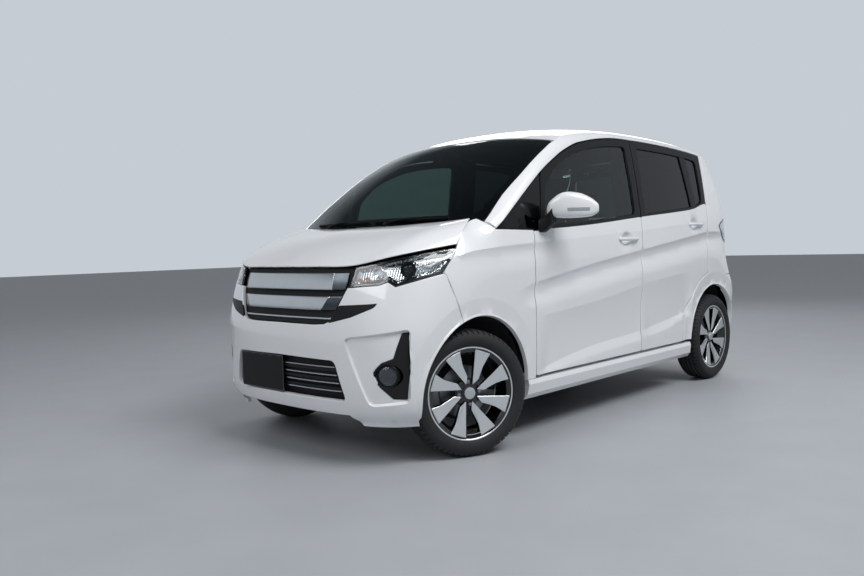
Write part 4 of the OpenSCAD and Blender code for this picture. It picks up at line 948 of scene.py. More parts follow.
# %% Roof and screen panels
panel("roof_sides", "body", [pearl], on_rail, rectangle(-2600, 0, -101, band_tall), depth=16, step=26, side=0,
      replaces=["cant_rails"])
panel("roof_skin", "body", [pearl, headliner], on_span, rectangle(-2560, -559, -736, 559), depth=20, step=55,
      inner_pick=1, replaces=["roof_panel"])
screen_edge = rounded(rectangle(-728, -556, -106, 556), 30)
see_through = rounded(rectangle(-700, -520, -150, 520), 60)
panel("screen_pane", "body", [screen_glass], lambda p: on_span(p, 3), screen_edge, depth=5, step=45, hem=0.8,
      replaces=["windscreen"])
panel("screen_frit", "body", [piano_black], lambda p: on_span(p, 8.4), screen_edge, [see_through], depth=0.8,
      step=45, hem=0.2)
sail = [[axle_f - 158, 1001], [pillar_bar(1001) + 3, 1001], [pillar_bar(1264) + 3, 1264],
        [axle_f - 518, car_height - 353.2], [axle_f - 332, car_height - 482.7],
        [axle_f - 156, car_height - 614.7]]
panel("sail_panes", "body", [privacy_glass], set_in(4), rounded(sail, 10), depth=4, step=30, hem=0.5, side=0,
      replaces=["quarter_panes"])

# %% [markdown]
# ## Rear quarters
# The quarter is the white panel behind the rear door. It carries the rear arch and turns the corner to
# the tailgate, so its map has two parts: length along the side, and then degrees round the corner. One
# drawing for both keeps the crease running through without a seam.

# %% Map round the rear corner
turn_from, turn_mm, gate_turn = 12.0, 9.0, 36.0


def corner_x(z):
    """Where the side ends and the corner starts."""
    return end_point(tail_end, np.full(len(z), turn_from), z)[:, 0]


def on_quarter(p):
    """The first coordinate is x along the side, and continues round the corner at turn_mm to a degree."""
    q, z = p[:, 0], p[:, 1]
    corner = corner_x(z)
    flat_x = np.maximum(q, corner)
    side_part = np.stack([flat_x, side_y(flat_x, z), z], 1)
    t = turn_from + np.maximum(0, corner - q) / turn_mm
    round_part = end_point(tail_end, t, z)
    fade = np.clip(1 - (t - turn_from) / (gate_turn - turn_from), 0, 1)
    round_part[:, 1] += relief(corner, z) * fade
    return np.where((q >= corner)[:, None], side_part, round_part)


def tail_edge(z):
    """Degrees round the tail at which the tailgate starts."""
    return gate_turn + 8 * ease(1250, 1480, z)


def quarter_flat(t, z):
    """Flat place on the quarter of an angle round the tail."""
    return [float(corner_x(np.array([float(z)]))[0]) - (t - turn_from) * turn_mm, z]


print("the rear corner starts at", round(quarter_flat(turn_from, 900)[0]), "mm")

# %% Rear quarters
quarter_start = door_rear - panel_gap
knee = axle_z + math.sqrt(quarter_r**2 - (quarter_start - axle_r)**2)
quarter_arch = (axle_r, axle_z, quarter_r)
front_arc = arc(quarter_arch, 2.2, angle_at_z(quarter_arch, knee), 16)
wheel_arc = arc(rear_arch, math.degrees(math.acos(-168.7 / rear_arch[2])), 1.2, 24)
top_edge = [[axle_f + u, float(rail_low(axle_f + u)) - 0.4] for u in np.linspace(-2332, -2540, 8)]
rear_edge = [quarter_flat(float(tail_edge(z)), z) for z in np.linspace(car_height - 170, 1082, 8)]
lamp_edge = [quarter_flat(tail_edge(1082), 1082), [axle_r - 178, 1070], [axle_r - 178, 902],
             quarter_flat(gate_turn, 898)]
low_edge = [quarter_flat(gate_turn, 800), quarter_flat(gate_turn, 691), [axle_r - 170.7, 690]]
quarter_outline = (front_arc + [[quarter_start, 1100]] + top_edge + rear_edge + lamp_edge + low_edge
                   + wheel_arc)
quarter_lines = (crease(MID_CREASE, axle_r - 160, quarter_start)
                 + [along(SHOULDER, axle_r - 160, quarter_start)] + arch_lines(rear_arch, 0, 122))
panel("rear_quarters", "body", [pearl, dash_skin], on_quarter, quarter_outline, lines=quarter_lines, depth=20,
      side=0, inner_pick=1, replaces=["quarter_panels"])

# %% [markdown]
# ## Bonnet
# The bonnet is one pressing between the two wings, drawn in shares: across from wing to wing and along
# from the grille to the screen. A low raised field in its middle ends in two soft bends.

# %% Bonnet
# Edges at the grille and at the screen: share across, x from the front axle, y, z
LID_FRONT = [[0, 482, 0, 857], [0.3, 474, 207, 857], [0.58, 441, 404, 860], [0.8, 345, 560, 895],
             [1, 80, 678, 937]]
LID_REAR = [[0, 25, 0, 1030], [0.3, 14, 187, 1032], [0.58, -8, 362, 1037], [0.8, -42, 505, 1043],
            [1, -74, 621, 1052]]
lid_wide, lid_long, lid_crown, field_rise = 620.0, 480.0, 34.0, 7.0


def on_lid(p):
    e, v = p[:, 0] / lid_wide, p[:, 1] / lid_long
    a = np.abs(e)
    front = np.stack([curve(LID_FRONT, a, c) for c in (1, 2, 3)], -1)
    rear = np.stack([curve(LID_REAR, a, c) for c in (1, 2, 3)], -1)
    q = front + (rear - front) * v[:, None]
    hump = 4 * v * (1 - v)
    field = field_rise * (1 - ease(0.60, 0.72, a)) * hump
    y = np.sign(e) * (q[:, 1] + 10 * hump * a)
    return np.stack([axle_f + q[:, 0], y, q[:, 2] + lid_crown * hump * (1 - 0.4 * a) + field], 1)


def lid_depth(p):
    return 5 + 9 * (1 - ease(0.86, 0.96, np.abs(p[:, 0]) / lid_wide)) * ease(0.02, 0.07, p[:, 1] / lid_long)


lid_bends = [[[s * k * lid_wide, 20], [s * k * lid_wide, lid_long - 20]]
             for s in (-1, 1) for k in (0.60, 0.66, 0.72)]
panel("bonnet_skin", "bonnet", [pearl, satin_black], on_lid, rectangle(-lid_wide, 0, lid_wide, lid_long),
      lines=lid_bends, depth=lid_depth, inner_pick=1, replaces=["bonnet"])

# %% [markdown]
# ## Front bumper
# The bumper is one moulding from wheel arch to wheel arch. It is drawn flat round the nose, with the
# grille, the lamps and the wing joint as its upper edge. The lamp corners are sunk facets: the map
# lowers every point inside the facet by its distance from the facet's edge, so the edges stay crisp.

# %% Distances in a drawing


def edge_distance(points, loop):
    """Distance of points inside a closed outline from its edge, 0 outside."""
    loop = np.asarray(loop, float)
    best = np.full(len(points), 1e9)
    for a, b in zip(loop, np.roll(loop, -1, 0)):
        t = np.clip(((points - a) @ (b - a)) / max(1e-9, (b - a) @ (b - a)), 0, 1)
        best = np.minimum(best, np.hypot(*(points - a - t[:, None] * (b - a)).T))
    return np.where(inside(points, loop), best, 0.0)


def inset(loop, d):
    """An outline moved inwards by d."""
    pts = np.asarray(loop, float)
    ahead, behind = unit(np.roll(pts, -1, 0) - pts), unit(pts - np.roll(pts, 1, 0))
    turning = np.sum(pts[:, 0] * np.roll(pts[:, 1], -1) - np.roll(pts[:, 0], -1) * pts[:, 1])

    def left(v):
        return np.stack([-v[:, 1], v[:, 0]], 1) * math.copysign(1, turning)

    middle = unit(left(ahead) + left(behind))
    return list(pts + middle * d / np.maximum(0.5, np.sum(middle * left(ahead), 1))[:, None])


# %% Front bumper
FACET = [[404, 556], [661, 593], [655, 285], [510, 268], [424, 500]]
FOG = [[536, 412], [560, 350], [604, 300], [646, 298], [660, 430], [656, 579], [638, 576], [612, 470],
       [570, 452]]
INTAKE = [[0, 286], [405, 286], [356, 456], [0, 462]]
facet_depth, chin_z, corner_z = 12.0, 222.0, 173.0
facet_flat, fog_flat = rounded(nose_from_y(FACET), 36), nose_from_y(FOG)
joint = [[axle_f + x, z] for x, z in ([187.8, 813.2], [176.8, 805], [141.8, 710], [100.8, 615])]
arch_from, arch_to = angle_at_x(front_arch, joint[-1][0]), angle_at_z(front_arch, corner_z)
bumper_top = [[0, 606], [230, 605], [292, 609], [324, 622], [345, 650], [364, 690], [397, 763.4],
              [410, 763.4], [533, 772.4], [564, 784.4], [593, 764.4]]
bumper_half = (nose_from_y(bumper_top) + nose_from_x(joint + arc(front_arch, arch_from, arch_to))
               + nose_from_y([[440, corner_z], [405, chin_z], [0, chin_z]]))


def on_bumper(p):
    q = np.stack([np.abs(p[:, 0]), p[:, 1]], 1)
    out = on_nose(p, facet_depth * ease(0, 9, edge_distance(q, facet_flat)))
    fade = ease(560, 700, q[:, 0])
    out[:, 1] += np.sign(p[:, 0]) * flare(out[:, 0], p[:, 1], front_arch) * fade
    return out


facet_lines = [loop_line(loop) for edge in (inset(facet_flat, 9), facet_flat)
               for loop in (edge, flipped(edge))]
arch_bends = both_sides([nose_from_x(one) for one in arch_lines(front_arch, arch_from - 2, arch_to)])
panel("bumper_front_skin", "body", [pearl, grained_black], on_bumper, mirrored(bumper_half),
      [rounded(mirrored(nose_from_y(INTAKE)), 26), fog_flat, flipped(fog_flat)], facet_lines + arch_bends,
      depth=18, step=24, hem=3, inner_pick=1, replaces=["front_bumper"])

# %% [markdown]
# ## Grille
# Two wide dark-chrome bars cross a black opening, with a thin bar below them. Each bar's outer ends are
# facets that fall back, and they get a darker chrome than its middle: painted shade. They could be boxes bent
# by a modifier; a drawing carried onto the nose keeps their bends sharp.

# %% Grille bars
# Half outline across and up, then y of the bend to the end facet at the bottom and the top, bottom, top
BARS = [[[[0, 754], [382, 754], [389, 790], [389, 828], [0, 828]], 318, 314, 754, 828],
        [[[0, 668], [344, 668], [374, 728], [0, 728]], 268, 306, 668, 728]]


def bend_at(row, z):
    """How far across the bend to the end facet lies at a height."""
    return row[1] + (row[2] - row[1]) * (z - row[3]) / (row[4] - row[3])


def on_bar(row):
    def place(p):
        z = p[:, 1]
        y = np.abs(on_nose(p)[:, 1])
        belly = ((z - (row[3] + row[4]) / 2) / (row[4] - row[3])) ** 2
        return on_nose(p, -4 + 10 * belly + 0.24 * np.maximum(0, y - bend_at(row, z)))
    return place


# Faces of an end facet, which get the darker chrome as painted shade
def end_facet(row):
    return lambda p: (np.abs(on_nose(p)[:, 1]) > bend_at(row, p[:, 1]) + 1).astype(int)


for number, row in enumerate(BARS):
    bends = both_sides([nose_from_y([[row[1] + k, row[3]], [row[2] + k, row[4]]]) for k in (-2, 0, 2)])
    bar = panel("grille_bar_%d" % (number + 1), "body", [dark_chrome, shaded_chrome], on_bar(row),
                mirrored(nose_from_y(row[0])), lines=bends, depth=16, pick=end_facet(row), step=16, hem=3)
    if number == 0:
        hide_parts("grille_bars")

# %% Thin bars and wedges
thin_bar = mirrored(nose_from_y([[0, 629], [322, 629], [326, 637], [0, 637]]))
panel("grille_thin_bar", "body", [dark_chrome], lambda p: on_nose(p, 9), thin_bar, depth=9, step=12, hem=2)
intake_low, intake_wide, intake_lean, edge_tall = 286, 392, 49 / 170, 3.4
for number, z in enumerate((322, 356, 390, 424)):
    end = intake_wide - (z - intake_low) * intake_lean
    strip_half = [[0, z], [end, z], [end - 1, z + edge_tall], [0, z + edge_tall]]
    panel("intake_edge_%d" % (number + 1), "body", [dark_chrome], lambda p: on_nose(p, 15),
          mirrored(nose_from_y(strip_half)), depth=6, step=20, hem=1)
wedge = rounded(nose_from_y([[318, 613], [431, 640], [528, 681], [541, 699], [366, 690]]), 6)
panel("grille_wedges", "body", [satin_black],
      lambda p: on_nose(p, -2.5 + 0.02 * np.maximum(0, 700 - p[:, 1])), wedge, depth=9, step=14, hem=3,
      side=0)

# %% [markdown]
# ## Turned and swept parts
# Lamps, wheels and nuts are turned on a lathe, so a section is carried round an axis. Arms and strips
# are swept along a line. Several such parts can share one mesh, each with its own finish.

# %% Lathe, sweep and slab


def rings(rows, closed_rows=False):
    """Quads between rings of points, each ring closed; ends of one point's width close the form."""
    rows = np.asarray(rows, float)
    k, n = rows.shape[:2]
    faces = []
    for i in range(k if closed_rows else k - 1):
        for j in range(n):
            a, b, c = i * n + j, i * n + (j + 1) % n, ((i + 1) % k) * n
            faces.append([a, b, c + (j + 1) % n, c + j])
    if not closed_rows:
        faces += [list(range(n))[::-1], list(range((k - 1) * n, k * n))]
    return rows.reshape(-1, 3), faces


def turned(section, n=64, closed=False):
    """A section of (radius, along the axis) turned about Y."""
    angles = np.linspace(0, 2 * math.pi, n, endpoint=False)
    return rings([[[r * math.cos(t), h, r * math.sin(t)] for t in angles] for r, h in section], closed)


def swept(points, radius, n=10, flat=1.0):
    """A tube along points; radius may change along it."""
    pts = np.asarray(points, float)
    ahead = unit(np.gradient(pts, axis=0))
    across = unit(np.cross(ahead, [0.05, 0.1, 1.0]))
    up_way = np.cross(across, ahead)
    size = np.broadcast_to(radius, len(pts))
    angles = np.linspace(0, 2 * math.pi, n, endpoint=False)
    return rings([[p + r * (math.cos(t) * a + flat * math.sin(t) * u) for t in angles]
                  for p, a, u, r in zip(pts, across, up_way, size)])


def slab(outline, low, high, bevel):
    """A plate with a bevelled face; the outline lies in X and Z and the thickness along Y."""
    loops = [(outline, low), (outline, high - bevel), (inset(outline, bevel * 0.35), high - bevel * 0.3),
             (inset(outline, bevel), high), (inset(outline, bevel + 1.5), high)]
    return rings([[[a, h, b] for a, b in loop] for loop, h in loops])


def oval(half_a, half_b, power, n):
    """Points round a squared oval about the origin."""
    turns = np.linspace(0, 2 * math.pi, n, endpoint=False)
    return np.stack([half_a * bow(turns, power), half_b * bow(turns - math.pi / 2, power)], 1)


# %% Move and join


def moved(part, place=(0, 0, 0), about_y=0.0, towards=None, about_z=0.0):
    """A part turned about Y, then about Z or so that Y points a given way, then moved."""
    verts, faces = part
    turn = Matrix.Rotation(about_y, 3, "Y")
    if towards is not None:
        turn = Vector((0, 1, 0)).rotation_difference(Vector(towards)).to_matrix() @ turn
    turn = Matrix.Rotation(about_z, 3, "Z") @ turn
    return np.asarray(verts) @ np.array(turn).T + np.asarray(place, float), faces


def joined(name, body, finishes, parts, replaces=(), sharp=40, mirror=False):
    """One piece from parts given as (verts, faces, finish number or numbers)."""
    verts, faces, picks = [], [], []
    for part_verts, part_faces, pick in parts:
        for flip in ((1, -1) if mirror else (1,)):
            base = sum(len(v) for v in verts)
            verts.append(np.asarray(part_verts) * [1, flip, 1])
            faces += [[base + i for i in f] for f in part_faces]
            picks += list(np.broadcast_to(pick, len(part_faces)))
    made = new_piece(name, np.concatenate(verts), faces, body, finishes, picks, sharp, solid=True)
    if replaces:
        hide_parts(*replaces)
    return made


# %% [markdown]
# ## Headlamps
# A clear cover follows the nose. Behind it lie a black border, a dished chrome bowl with upright flutes,
# a projector, a small inner reflector with an amber bulb and a bright tick-shaped strip.

# %% Lamp covers and bowls
lamp_flat = (nose_from_y([[411, 765], [533, 774], [564, 786], [593, 766]])
             + nose_from_x([[axle_f + 193, 815], [axle_f + 84, 921]])
             + nose_from_y([[588, 887], [416, 847], [413, 800]]))
lamp_edge_line = rounded(lamp_flat, 5)
lamp_rim = inset(lamp_edge_line, 0.5)
border, bowl_lip, bowl_depth, flute, flute_deep = 9.0, 7.0, 40.0, 15.0, 3.0


def in_bowl(p):
    far_in = edge_distance(p, lamp_flat)
    depth = bowl_lip + (bowl_depth - bowl_lip) * ease(0, 20, far_in)
    flutes = flute_deep * np.abs(np.sin(math.pi * p[:, 0] / flute)) * ease(8, 24, far_in)
    return on_nose(p, depth - flutes)


def bowl_finish(p):
    """0 the chrome of the bowl, 1 its black edge."""
    return (edge_distance(p, lamp_flat) < 13).astype(int)


panel("lamp_covers", "body", [clear_lens], lambda p: on_nose(p, 1), lamp_edge_line, depth=2.5, step=22,
      hem=0.6, side=0, replaces=["headlamps"])
panel("lamp_borders", "body", [piano_black], lambda p: on_nose(p, 4.6), lamp_rim, [inset(lamp_flat, border)],
      depth=1.5, step=14, hem=0.4, side=0)
panel("lamp_bowls", "body", [chrome, satin_black], in_bowl, lamp_rim,
      lines=[loop_line(inset(lamp_flat, d)) for d in (10, 20)], depth=2, pick=bowl_finish, step=5, hem=0.3,
      side=0)

# %% Lamp units


def in_lamp(y, z, d):
    """Point at a depth behind the nose's skin, given across the car and up."""
    return on_nose(np.array(nose_from_y([[y, z]])), d)[0]


lamp_way = Vector((0.80, 0.60, 0.02)).normalized()
projector = turned([(31, -30), (34, -6), (33, -2), (29, -1), (28, -6), (26, -7)], 40)
glass_ball = turned([(26.5, -12), (26, -5), (22, 1.5), (14, 6), (6, 7.6), (0.05, 8)], 40)
small_bowl = turned([(20, -4), (23, 8), (22, 9), (20, 8), (13, -3), (4, -6), (0.05, -6)], 32)
bulb = turned([(8, -8), (10, 0), (9, 6), (5, 10), (0.05, 11)], 24)
# Part, place across and up, depth behind the skin, finish
UNITS = [(projector, 618, 834, 16, 0), (glass_ball, 618, 834, 16, 3), (small_bowl, 520, 822, 22, 1),
         (bulb, 478, 797, 20, 2), (bulb, 446, 792, 20, 2)]
parts = [(*moved(part, in_lamp(y, z, d), towards=lamp_way), pick) for part, y, z, d, pick in UNITS]
# The tick strip is the light guide, with its painted glow
tick = [in_lamp(y, z, 11) for y, z in ((648, 866), (659, 848), (668, 846), (684, 872), (694, 892))]
parts.append((*swept(spread(tick, 6, closed=False), 5.5), 4))
joined("lamp_inners", "body", [satin_black, chrome, amber_lens, clear_lens, light_guide], parts, mirror=True)

# %% [markdown]
# ## Fog lamps and plate
# Each sunk facet carries a black bezel with a round lamp. The plate is a plain black blank with a
# rounded edge and a narrow rim, and two brackets hold it off the grille.

# %% Fog lamps
fog_middle, fog_radius = (592, 398), 48.0
fog_turns = np.linspace(0, 2 * math.pi, 33)[:-1]
fog_hole = [[fog_middle[0] + fog_radius * math.cos(t),
             fog_middle[1] + fog_radius * math.sin(t)] for t in fog_turns]
panel("fog_bezels", "body", [grained_black], lambda p: on_nose(p, facet_depth - 1), inset(fog_flat, 0.6),
      [nose_from_y(fog_hole)], depth=12, step=14, hem=3, side=0, replaces=["fog_lamps"])
fog_place, fog_way = in_lamp(*fog_middle, facet_depth + 6), Vector((0.86, 0.5, -0.03)).normalized()
fog_ring = turned([(49.5, -16), (50, 4), (47, 8), (43, 7), (41, 0), (40, -6)], 48)
fog_bowl = turned([(40.5, -3), (36, -10), (24, -18), (8, -22), (0.05, -22)], 48)
fog_glass = turned([(40, -6), (40.5, 1), (34, 5.5), (20, 8.6), (0.05, 9.5)], 48)
fog_shield = turned([(19, -20), (17, -9), (9, -4), (0.05, -3)], 32)
# The bowls take the darkened chrome: painted shade inside the lamps
parts = [(*moved(part, fog_place, towards=fog_way), pick)
         for pick, part in enumerate((fog_ring, fog_glass, fog_bowl, fog_shield))]
joined("fog_lamp_inners", "body", [satin_black, clear_lens, shaded_chrome, chrome], parts, mirror=True)

# %% Plate
plate_wide, plate_tall, plate_low, plate_rim, plate_thick = 330.0, 165.0, 292.0, 6, 7
plate_middle = np.array([nose_x - 12, -148.0, plate_low + plate_tall / 2])
plate_edge = rounded(rectangle(-plate_wide / 2, -plate_tall / 2, plate_wide / 2, plate_tall / 2), 12, 6)


def on_plate(p):
    return plate_middle + np.stack([plate_thick + 0 * p[:, 0], p[:, 0], p[:, 1]], 1)


def plate_field(p):
    """0 the glossy rim, 1 the field inside it."""
    return (edge_distance(p, plate_edge) > plate_rim).astype(int)


panel("plate_blank", "body", [piano_black, satin_black], on_plate, plate_edge,
      lines=[loop_line(inset(plate_edge, plate_rim))], depth=plate_thick, step=22, hem=2, inner_pick=1,
      pick=plate_field, replaces=["number_plate"])
brackets = [slab(rectangle(-40, z - 9, 40, z + 9), -22, 0.5, 1) for z in (-21.0, 18.5)]
joined("plate_brackets", "body", [satin_black],
       [(*moved(part, plate_middle, about_z=-math.pi / 2), 0) for part in brackets])

# %% [markdown]
# ## Tailgate
# The back follows the same idea as the nose: drawings flat round the tail. The photograph doesn't show
# it, so its plate recess and handle are plain forms of the usual kind.

# %% Tailgate
gate_low, gate_high = 700.0, car_height - 138
recess_half, recess_low, recess_high, recess_deep = 300, 775, 965, 18


def gate_edge(z):
    return [corner_mm * (90 - float(tail_edge(z)) - 1.6), z]


def on_gate(p):
    """The tail, with the plate recess sunk into it."""
    from_ends = ease(0, 14, recess_half - np.abs(p[:, 0]))
    from_low, from_high = ease(0, 14, p[:, 1] - recess_low), ease(0, 26, recess_high - p[:, 1])
    return on_tail(p, recess_deep * np.minimum(from_ends, np.minimum(from_low, from_high)))


gate_half = [[0, gate_low]] + [gate_edge(z) for z in np.linspace(gate_low, gate_high, 14)] + [[0, gate_high]]
GATE_WINDOW = [[0, 1120], [470, 1120], [500, 1150], [470, 1400], [430, 1430], [0, 1440]]
gate_window = mirrored(flat_from_y(tail_end, GATE_WINDOW))
recess = [loop_line(rectangle(-recess_half, recess_low, recess_half, recess_high)),
          loop_line(rectangle(14 - recess_half, recess_low + 14, recess_half - 14, recess_high - 26))]
panel("tailgate_skin", "tailgate", [pearl, dash_skin], on_gate, mirrored(gate_half),
      [rounded(gate_window, 20)], recess, depth=46, inner_pick=1, replaces=["tailgate"])
panel("tailgate_pane", "tailgate", [privacy_glass], lambda p: on_tail(p, 6), rounded(gate_window, 18),
      depth=5, step=45, hem=0.6, replaces=["tailgate_glass"])
handle_line = [on_gate(np.array([[a, 962.0]]))[0] - [10, 0, 12] for a in np.linspace(-150, 150, 13)]
joined("tailgate_handle", "tailgate", [grained_black], [(*swept(handle_line, 9), 0)])

# %% [markdown]
# ## Spoiler and rear bumper
# The spoiler carries the roof line on past the glass. It is lofted: one section, over the top, round
# the lip and back below, is repeated across the car. The bumper is a drawing round the tail again, with
# a black valance as its lowest strip.

# %% Spoiler
roof_end, spoiler_half, overhang, root_thick, lip_thick = axle_f - 2560, 538.0, 152.0, 58, 12


def spoiler(v, s, d):
    """Point at share v of the overhang and share s of the half width, d below the top."""
    x = (roof_end - 12) - overhang * (1 - 0.22 * abs(s) ** 8) * v
    return np.array([x, s * spoiler_half, car_height - 105 + 22 * (1 - abs(s) ** 2.2) - 26 * v - d])


def section_of(s):
    """Round the spoiler at a share of its width: over the top, round its lip and back below."""
    top = [spoiler(v, s, 0) for v in np.linspace(0, 0.96, 12)]
    lip = [spoiler(v, s, d) for v, d in ((0.99, 1.5), (1.0, 6), (0.99, 10.5))]
    low = [spoiler(v, s, root_thick + (lip_thick - root_thick) * v) for v in np.linspace(0.96, 0, 12)]
    return top + lip + low


joined("spoiler", "tailgate", [pearl], [(*rings([section_of(s) for s in np.linspace(-1, 1, 41)]), 0)])

# %% Rear bumper
side_x, low_rear, joint_z, valance_z = axle_r - 160.0, 240.0, 684, 300
rear_from, rear_to = angle_at_x(rear_arch, side_x), 180 - angle_at_z(rear_arch, low_rear)
rear_side = flat_from_x(tail_end, [[side_x, joint_z]] + arc(rear_arch, rear_from, rear_to))


def on_rear(p):
    out = on_tail(p)
    out[:, 1] += np.sign(p[:, 0]) * flare(out[:, 0], p[:, 1], rear_arch) * ease(700, 900, np.abs(p[:, 0]))
    return out


def valance(p):
    return (p[:, 1] < valance_z).astype(int)


panel("bumper_rear_skin", "body", [pearl, grained_black], on_rear,
      mirrored([[0, joint_z]] + rear_side + [[0, low_rear]]), lines=[[[-1000, valance_z], [1000, valance_z]]],
      depth=30, pick=valance, step=30, hem=3, inner_pick=1, replaces=["rear_bumper"])

# %% [markdown]
# ## Tail lamps
# Each lamp wraps round the corner: red fields at the back, a silver bar between them and a silver tip on
# the side. The lens is drawn on the quarter's own map and bulges a little, so it sits in the panel.

# %% Tail lamps
tip_x, bar_z, bar_half = axle_r - 192, 985, 22
lamp_shape = [quarter_flat(37.5, 902), [axle_r - 183, 906], [axle_r - 150, 922], [axle_r - 66, 1016],
              [axle_r - 100, 1042], [axle_r - 183, 1066], quarter_flat(37.5, 1078)]


def on_lens(p):
    out = on_quarter(p)
    bulge = 3.0 * ease(0, 16, edge_distance(p, lamp_shape))
    out[:, 1] += bulge * 0.9
    out[:, 0] -= bulge * 0.6
    return out


def lens_finish(p):
    """0 the red fields towards the back, 1 the silver tip on the side and the bar between the fields."""
    return ((p[:, 0] > tip_x) | (np.abs(p[:, 1] - bar_z) < bar_half)).astype(int)


lens_lines = [[[axle_r - 600, z], [tip_x, z]] for z in (bar_z - bar_half, bar_z + bar_half)]
lens_lines.append([[tip_x, 915], [tip_x, 1060]])
panel("tail_lamp_lenses", "body", [red_lens, lamp_silver], on_lens, lamp_shape, lines=lens_lines, depth=16,
      pick=lens_finish, step=18, hem=2, side=0, replaces=["tail_lamps"])
panel("tail_lamp_borders", "body", [piano_black], lambda p: on_quarter(p) + np.array([-1.4, 2.4, 0]),
      lamp_shape, [inset(lamp_shape, 8)], depth=2.5, step=14, hem=0.6, side=0)

# %% [markdown]
# ## Mirrors and handles
# A mirror is a shell lofted through its sections, on a black foot, with a clear slit for the signal
# lamp and the glass behind. A door handle is a bar that bows out over its cup.

# %% Mirrors
# Reach from the door, front, rear, bottom, top
MIRROR = [[34, 2, -112, 42, 98], [50, 8, -124, 33, 120], [98, -8, -130, 29, 152], [150, -42, -138, 29, 148],
          [200, -88, -146, 34, 122], [226, -122, -150, 48, 96]]
mirror_x, mirror_z, mirror_square = door_front - 60, 1018.0, 0.62
mirror_y = float(side_y(mirror_x, mirror_z))


def shell_point(reach, turn, grow=0.0):
    """Point of the shell at a reach from the door and an angle round its section."""
    front, rear, low, high = [float(curve(MIRROR, reach, c)) for c in (1, 2, 3, 4)]
    x = (front + rear) / 2 + ((front - rear) / 2 + grow) * float(bow(turn, mirror_square))
    z = (low + high) / 2 + ((high - low) / 2 + grow) * float(bow(turn - math.pi / 2, mirror_square))
    return [mirror_x + x, mirror_y + reach, mirror_z + z]


def shell_ring(reach, share=1.0, n=40):
    ring = np.array([shell_point(reach, t) for t in np.linspace(0, 2 * math.pi, n, endpoint=False)])
    middle = ring.mean(0)
    return middle + (ring - middle) * share


def shell_turn(reach, z):
    """Angle round the section at which the shell reaches a height."""
    low, high = float(curve(MIRROR, reach, 3)), float(curve(MIRROR, reach, 4))
    share = np.clip((z - (low + high) / 2) / ((high - low) / 2), -1, 1)
    return math.copysign(math.asin(abs(share) ** (1 / mirror_square)), share)


shell = [shell_ring(34, 0.05), shell_ring(34, 0.9)] + [shell_ring(r) for r in np.linspace(36, 224, 24)]
shell += [shell_ring(226, share) + [0, out, 0] for share, out in ((0.96, 1), (0.8, 4), (0.5, 6), (0.05, 7))]


def strip(reaches, low, high, grow, rear=False):
    """A thin closed strip on the shell between two heights."""
    def row(r):
        turns = [shell_turn(r, z) for z in np.linspace(low, high, 5)]
        turns = [math.pi - t for t in turns] if rear else turns
        return [shell_point(r, t, grow) for t in turns] + [shell_point(r, t, -2) for t in reversed(turns)]
    return rings([row(r) for r in reaches])


# Foot of the mirror: reach from the door, rear, front, bottom, top
FOOT = [[-1, -46, 30, -36, 30], [14, -34, 24, -32, 36], [34, -26, 18, -22, 48], [62, -28, 16, 8, 76]]
foot_rows = [[[mirror_x + (x0 + x1) / 2 + a, mirror_y + 6 + y, mirror_z + (z0 + z1) / 2 + b]
              for a, b in oval((x1 - x0) / 2, (z1 - z0) / 2, 0.5, 28)] for y, x0, x1, z0, z1 in FOOT]
mirror_parts = [(*rings(shell), 0), (*rings(foot_rows), 1),
                (*strip(np.linspace(132, 210, 16), 60, 76, 0.7), 2),
                (*strip(np.linspace(60, 204, 18), 52, 104, 0.8, rear=True), 3)]
for side_name, side in SIDES:
    parts = [(np.asarray(v) * [1, side, 1], f, pick) for v, f, pick in mirror_parts]
    joined("mirror_shell_" + side_name, "front_door_" + side_name, [pearl, satin_black, signal_slit, chrome],
           parts, replaces=["mirror_" + side_name])

# %% Door handles
lever_out = 15
for which in ("front", "rear"):
    start, end, height = HANDLES[which][4:]
    shares = np.linspace(-1, 1, 21)
    xs = (start + end) / 2 + shares * abs(start - end) / 2
    bowed = lever_out - lever_out * np.abs(shares) ** 5
    lever_line = np.stack([xs, side_y(xs, np.full(21, height)) + bowed, np.full(21, height)], 1)
    verts, faces = swept(lever_line, 8 - 2 * np.abs(shares) ** 3, 16, 1.35)
    for side_name, side in SIDES:
        joined(which + "_handle_" + side_name, which + "_door_" + side_name, [pearl],
               [(np.asarray(verts) * [1, side, 1], faces, 0)])

# %% [markdown]
# ## Wheels and tyres
# The rim is turned, and its eight blades are slabs with machined faces on black sides. The tyre is
# turned too: long grooves are steps in its section, and the cross cuts of the shoulders are columns
# that sit lower than their neighbours.

# %% Wheel
# Section of the rim: radius, depth from the wheel's middle plane
rim_r = 190.5
RIM = [[rim_r, -62], [rim_r + 17, -64], [rim_r + 17, -70], [rim_r + 8, -70], [rim_r - 8, -58],
       [rim_r - 14, -46], [rim_r - 24, -22], [rim_r - 24, 24], [rim_r - 14, 44], [rim_r - 9, 60],
       [rim_r + 8, 66], [rim_r + 12, 70], [rim_r + 17, 70], [rim_r + 17, 64], [rim_r, 62], [rim_r, 40],
       [rim_r - 16, 22], [rim_r - 16, -16], [rim_r, -36]]
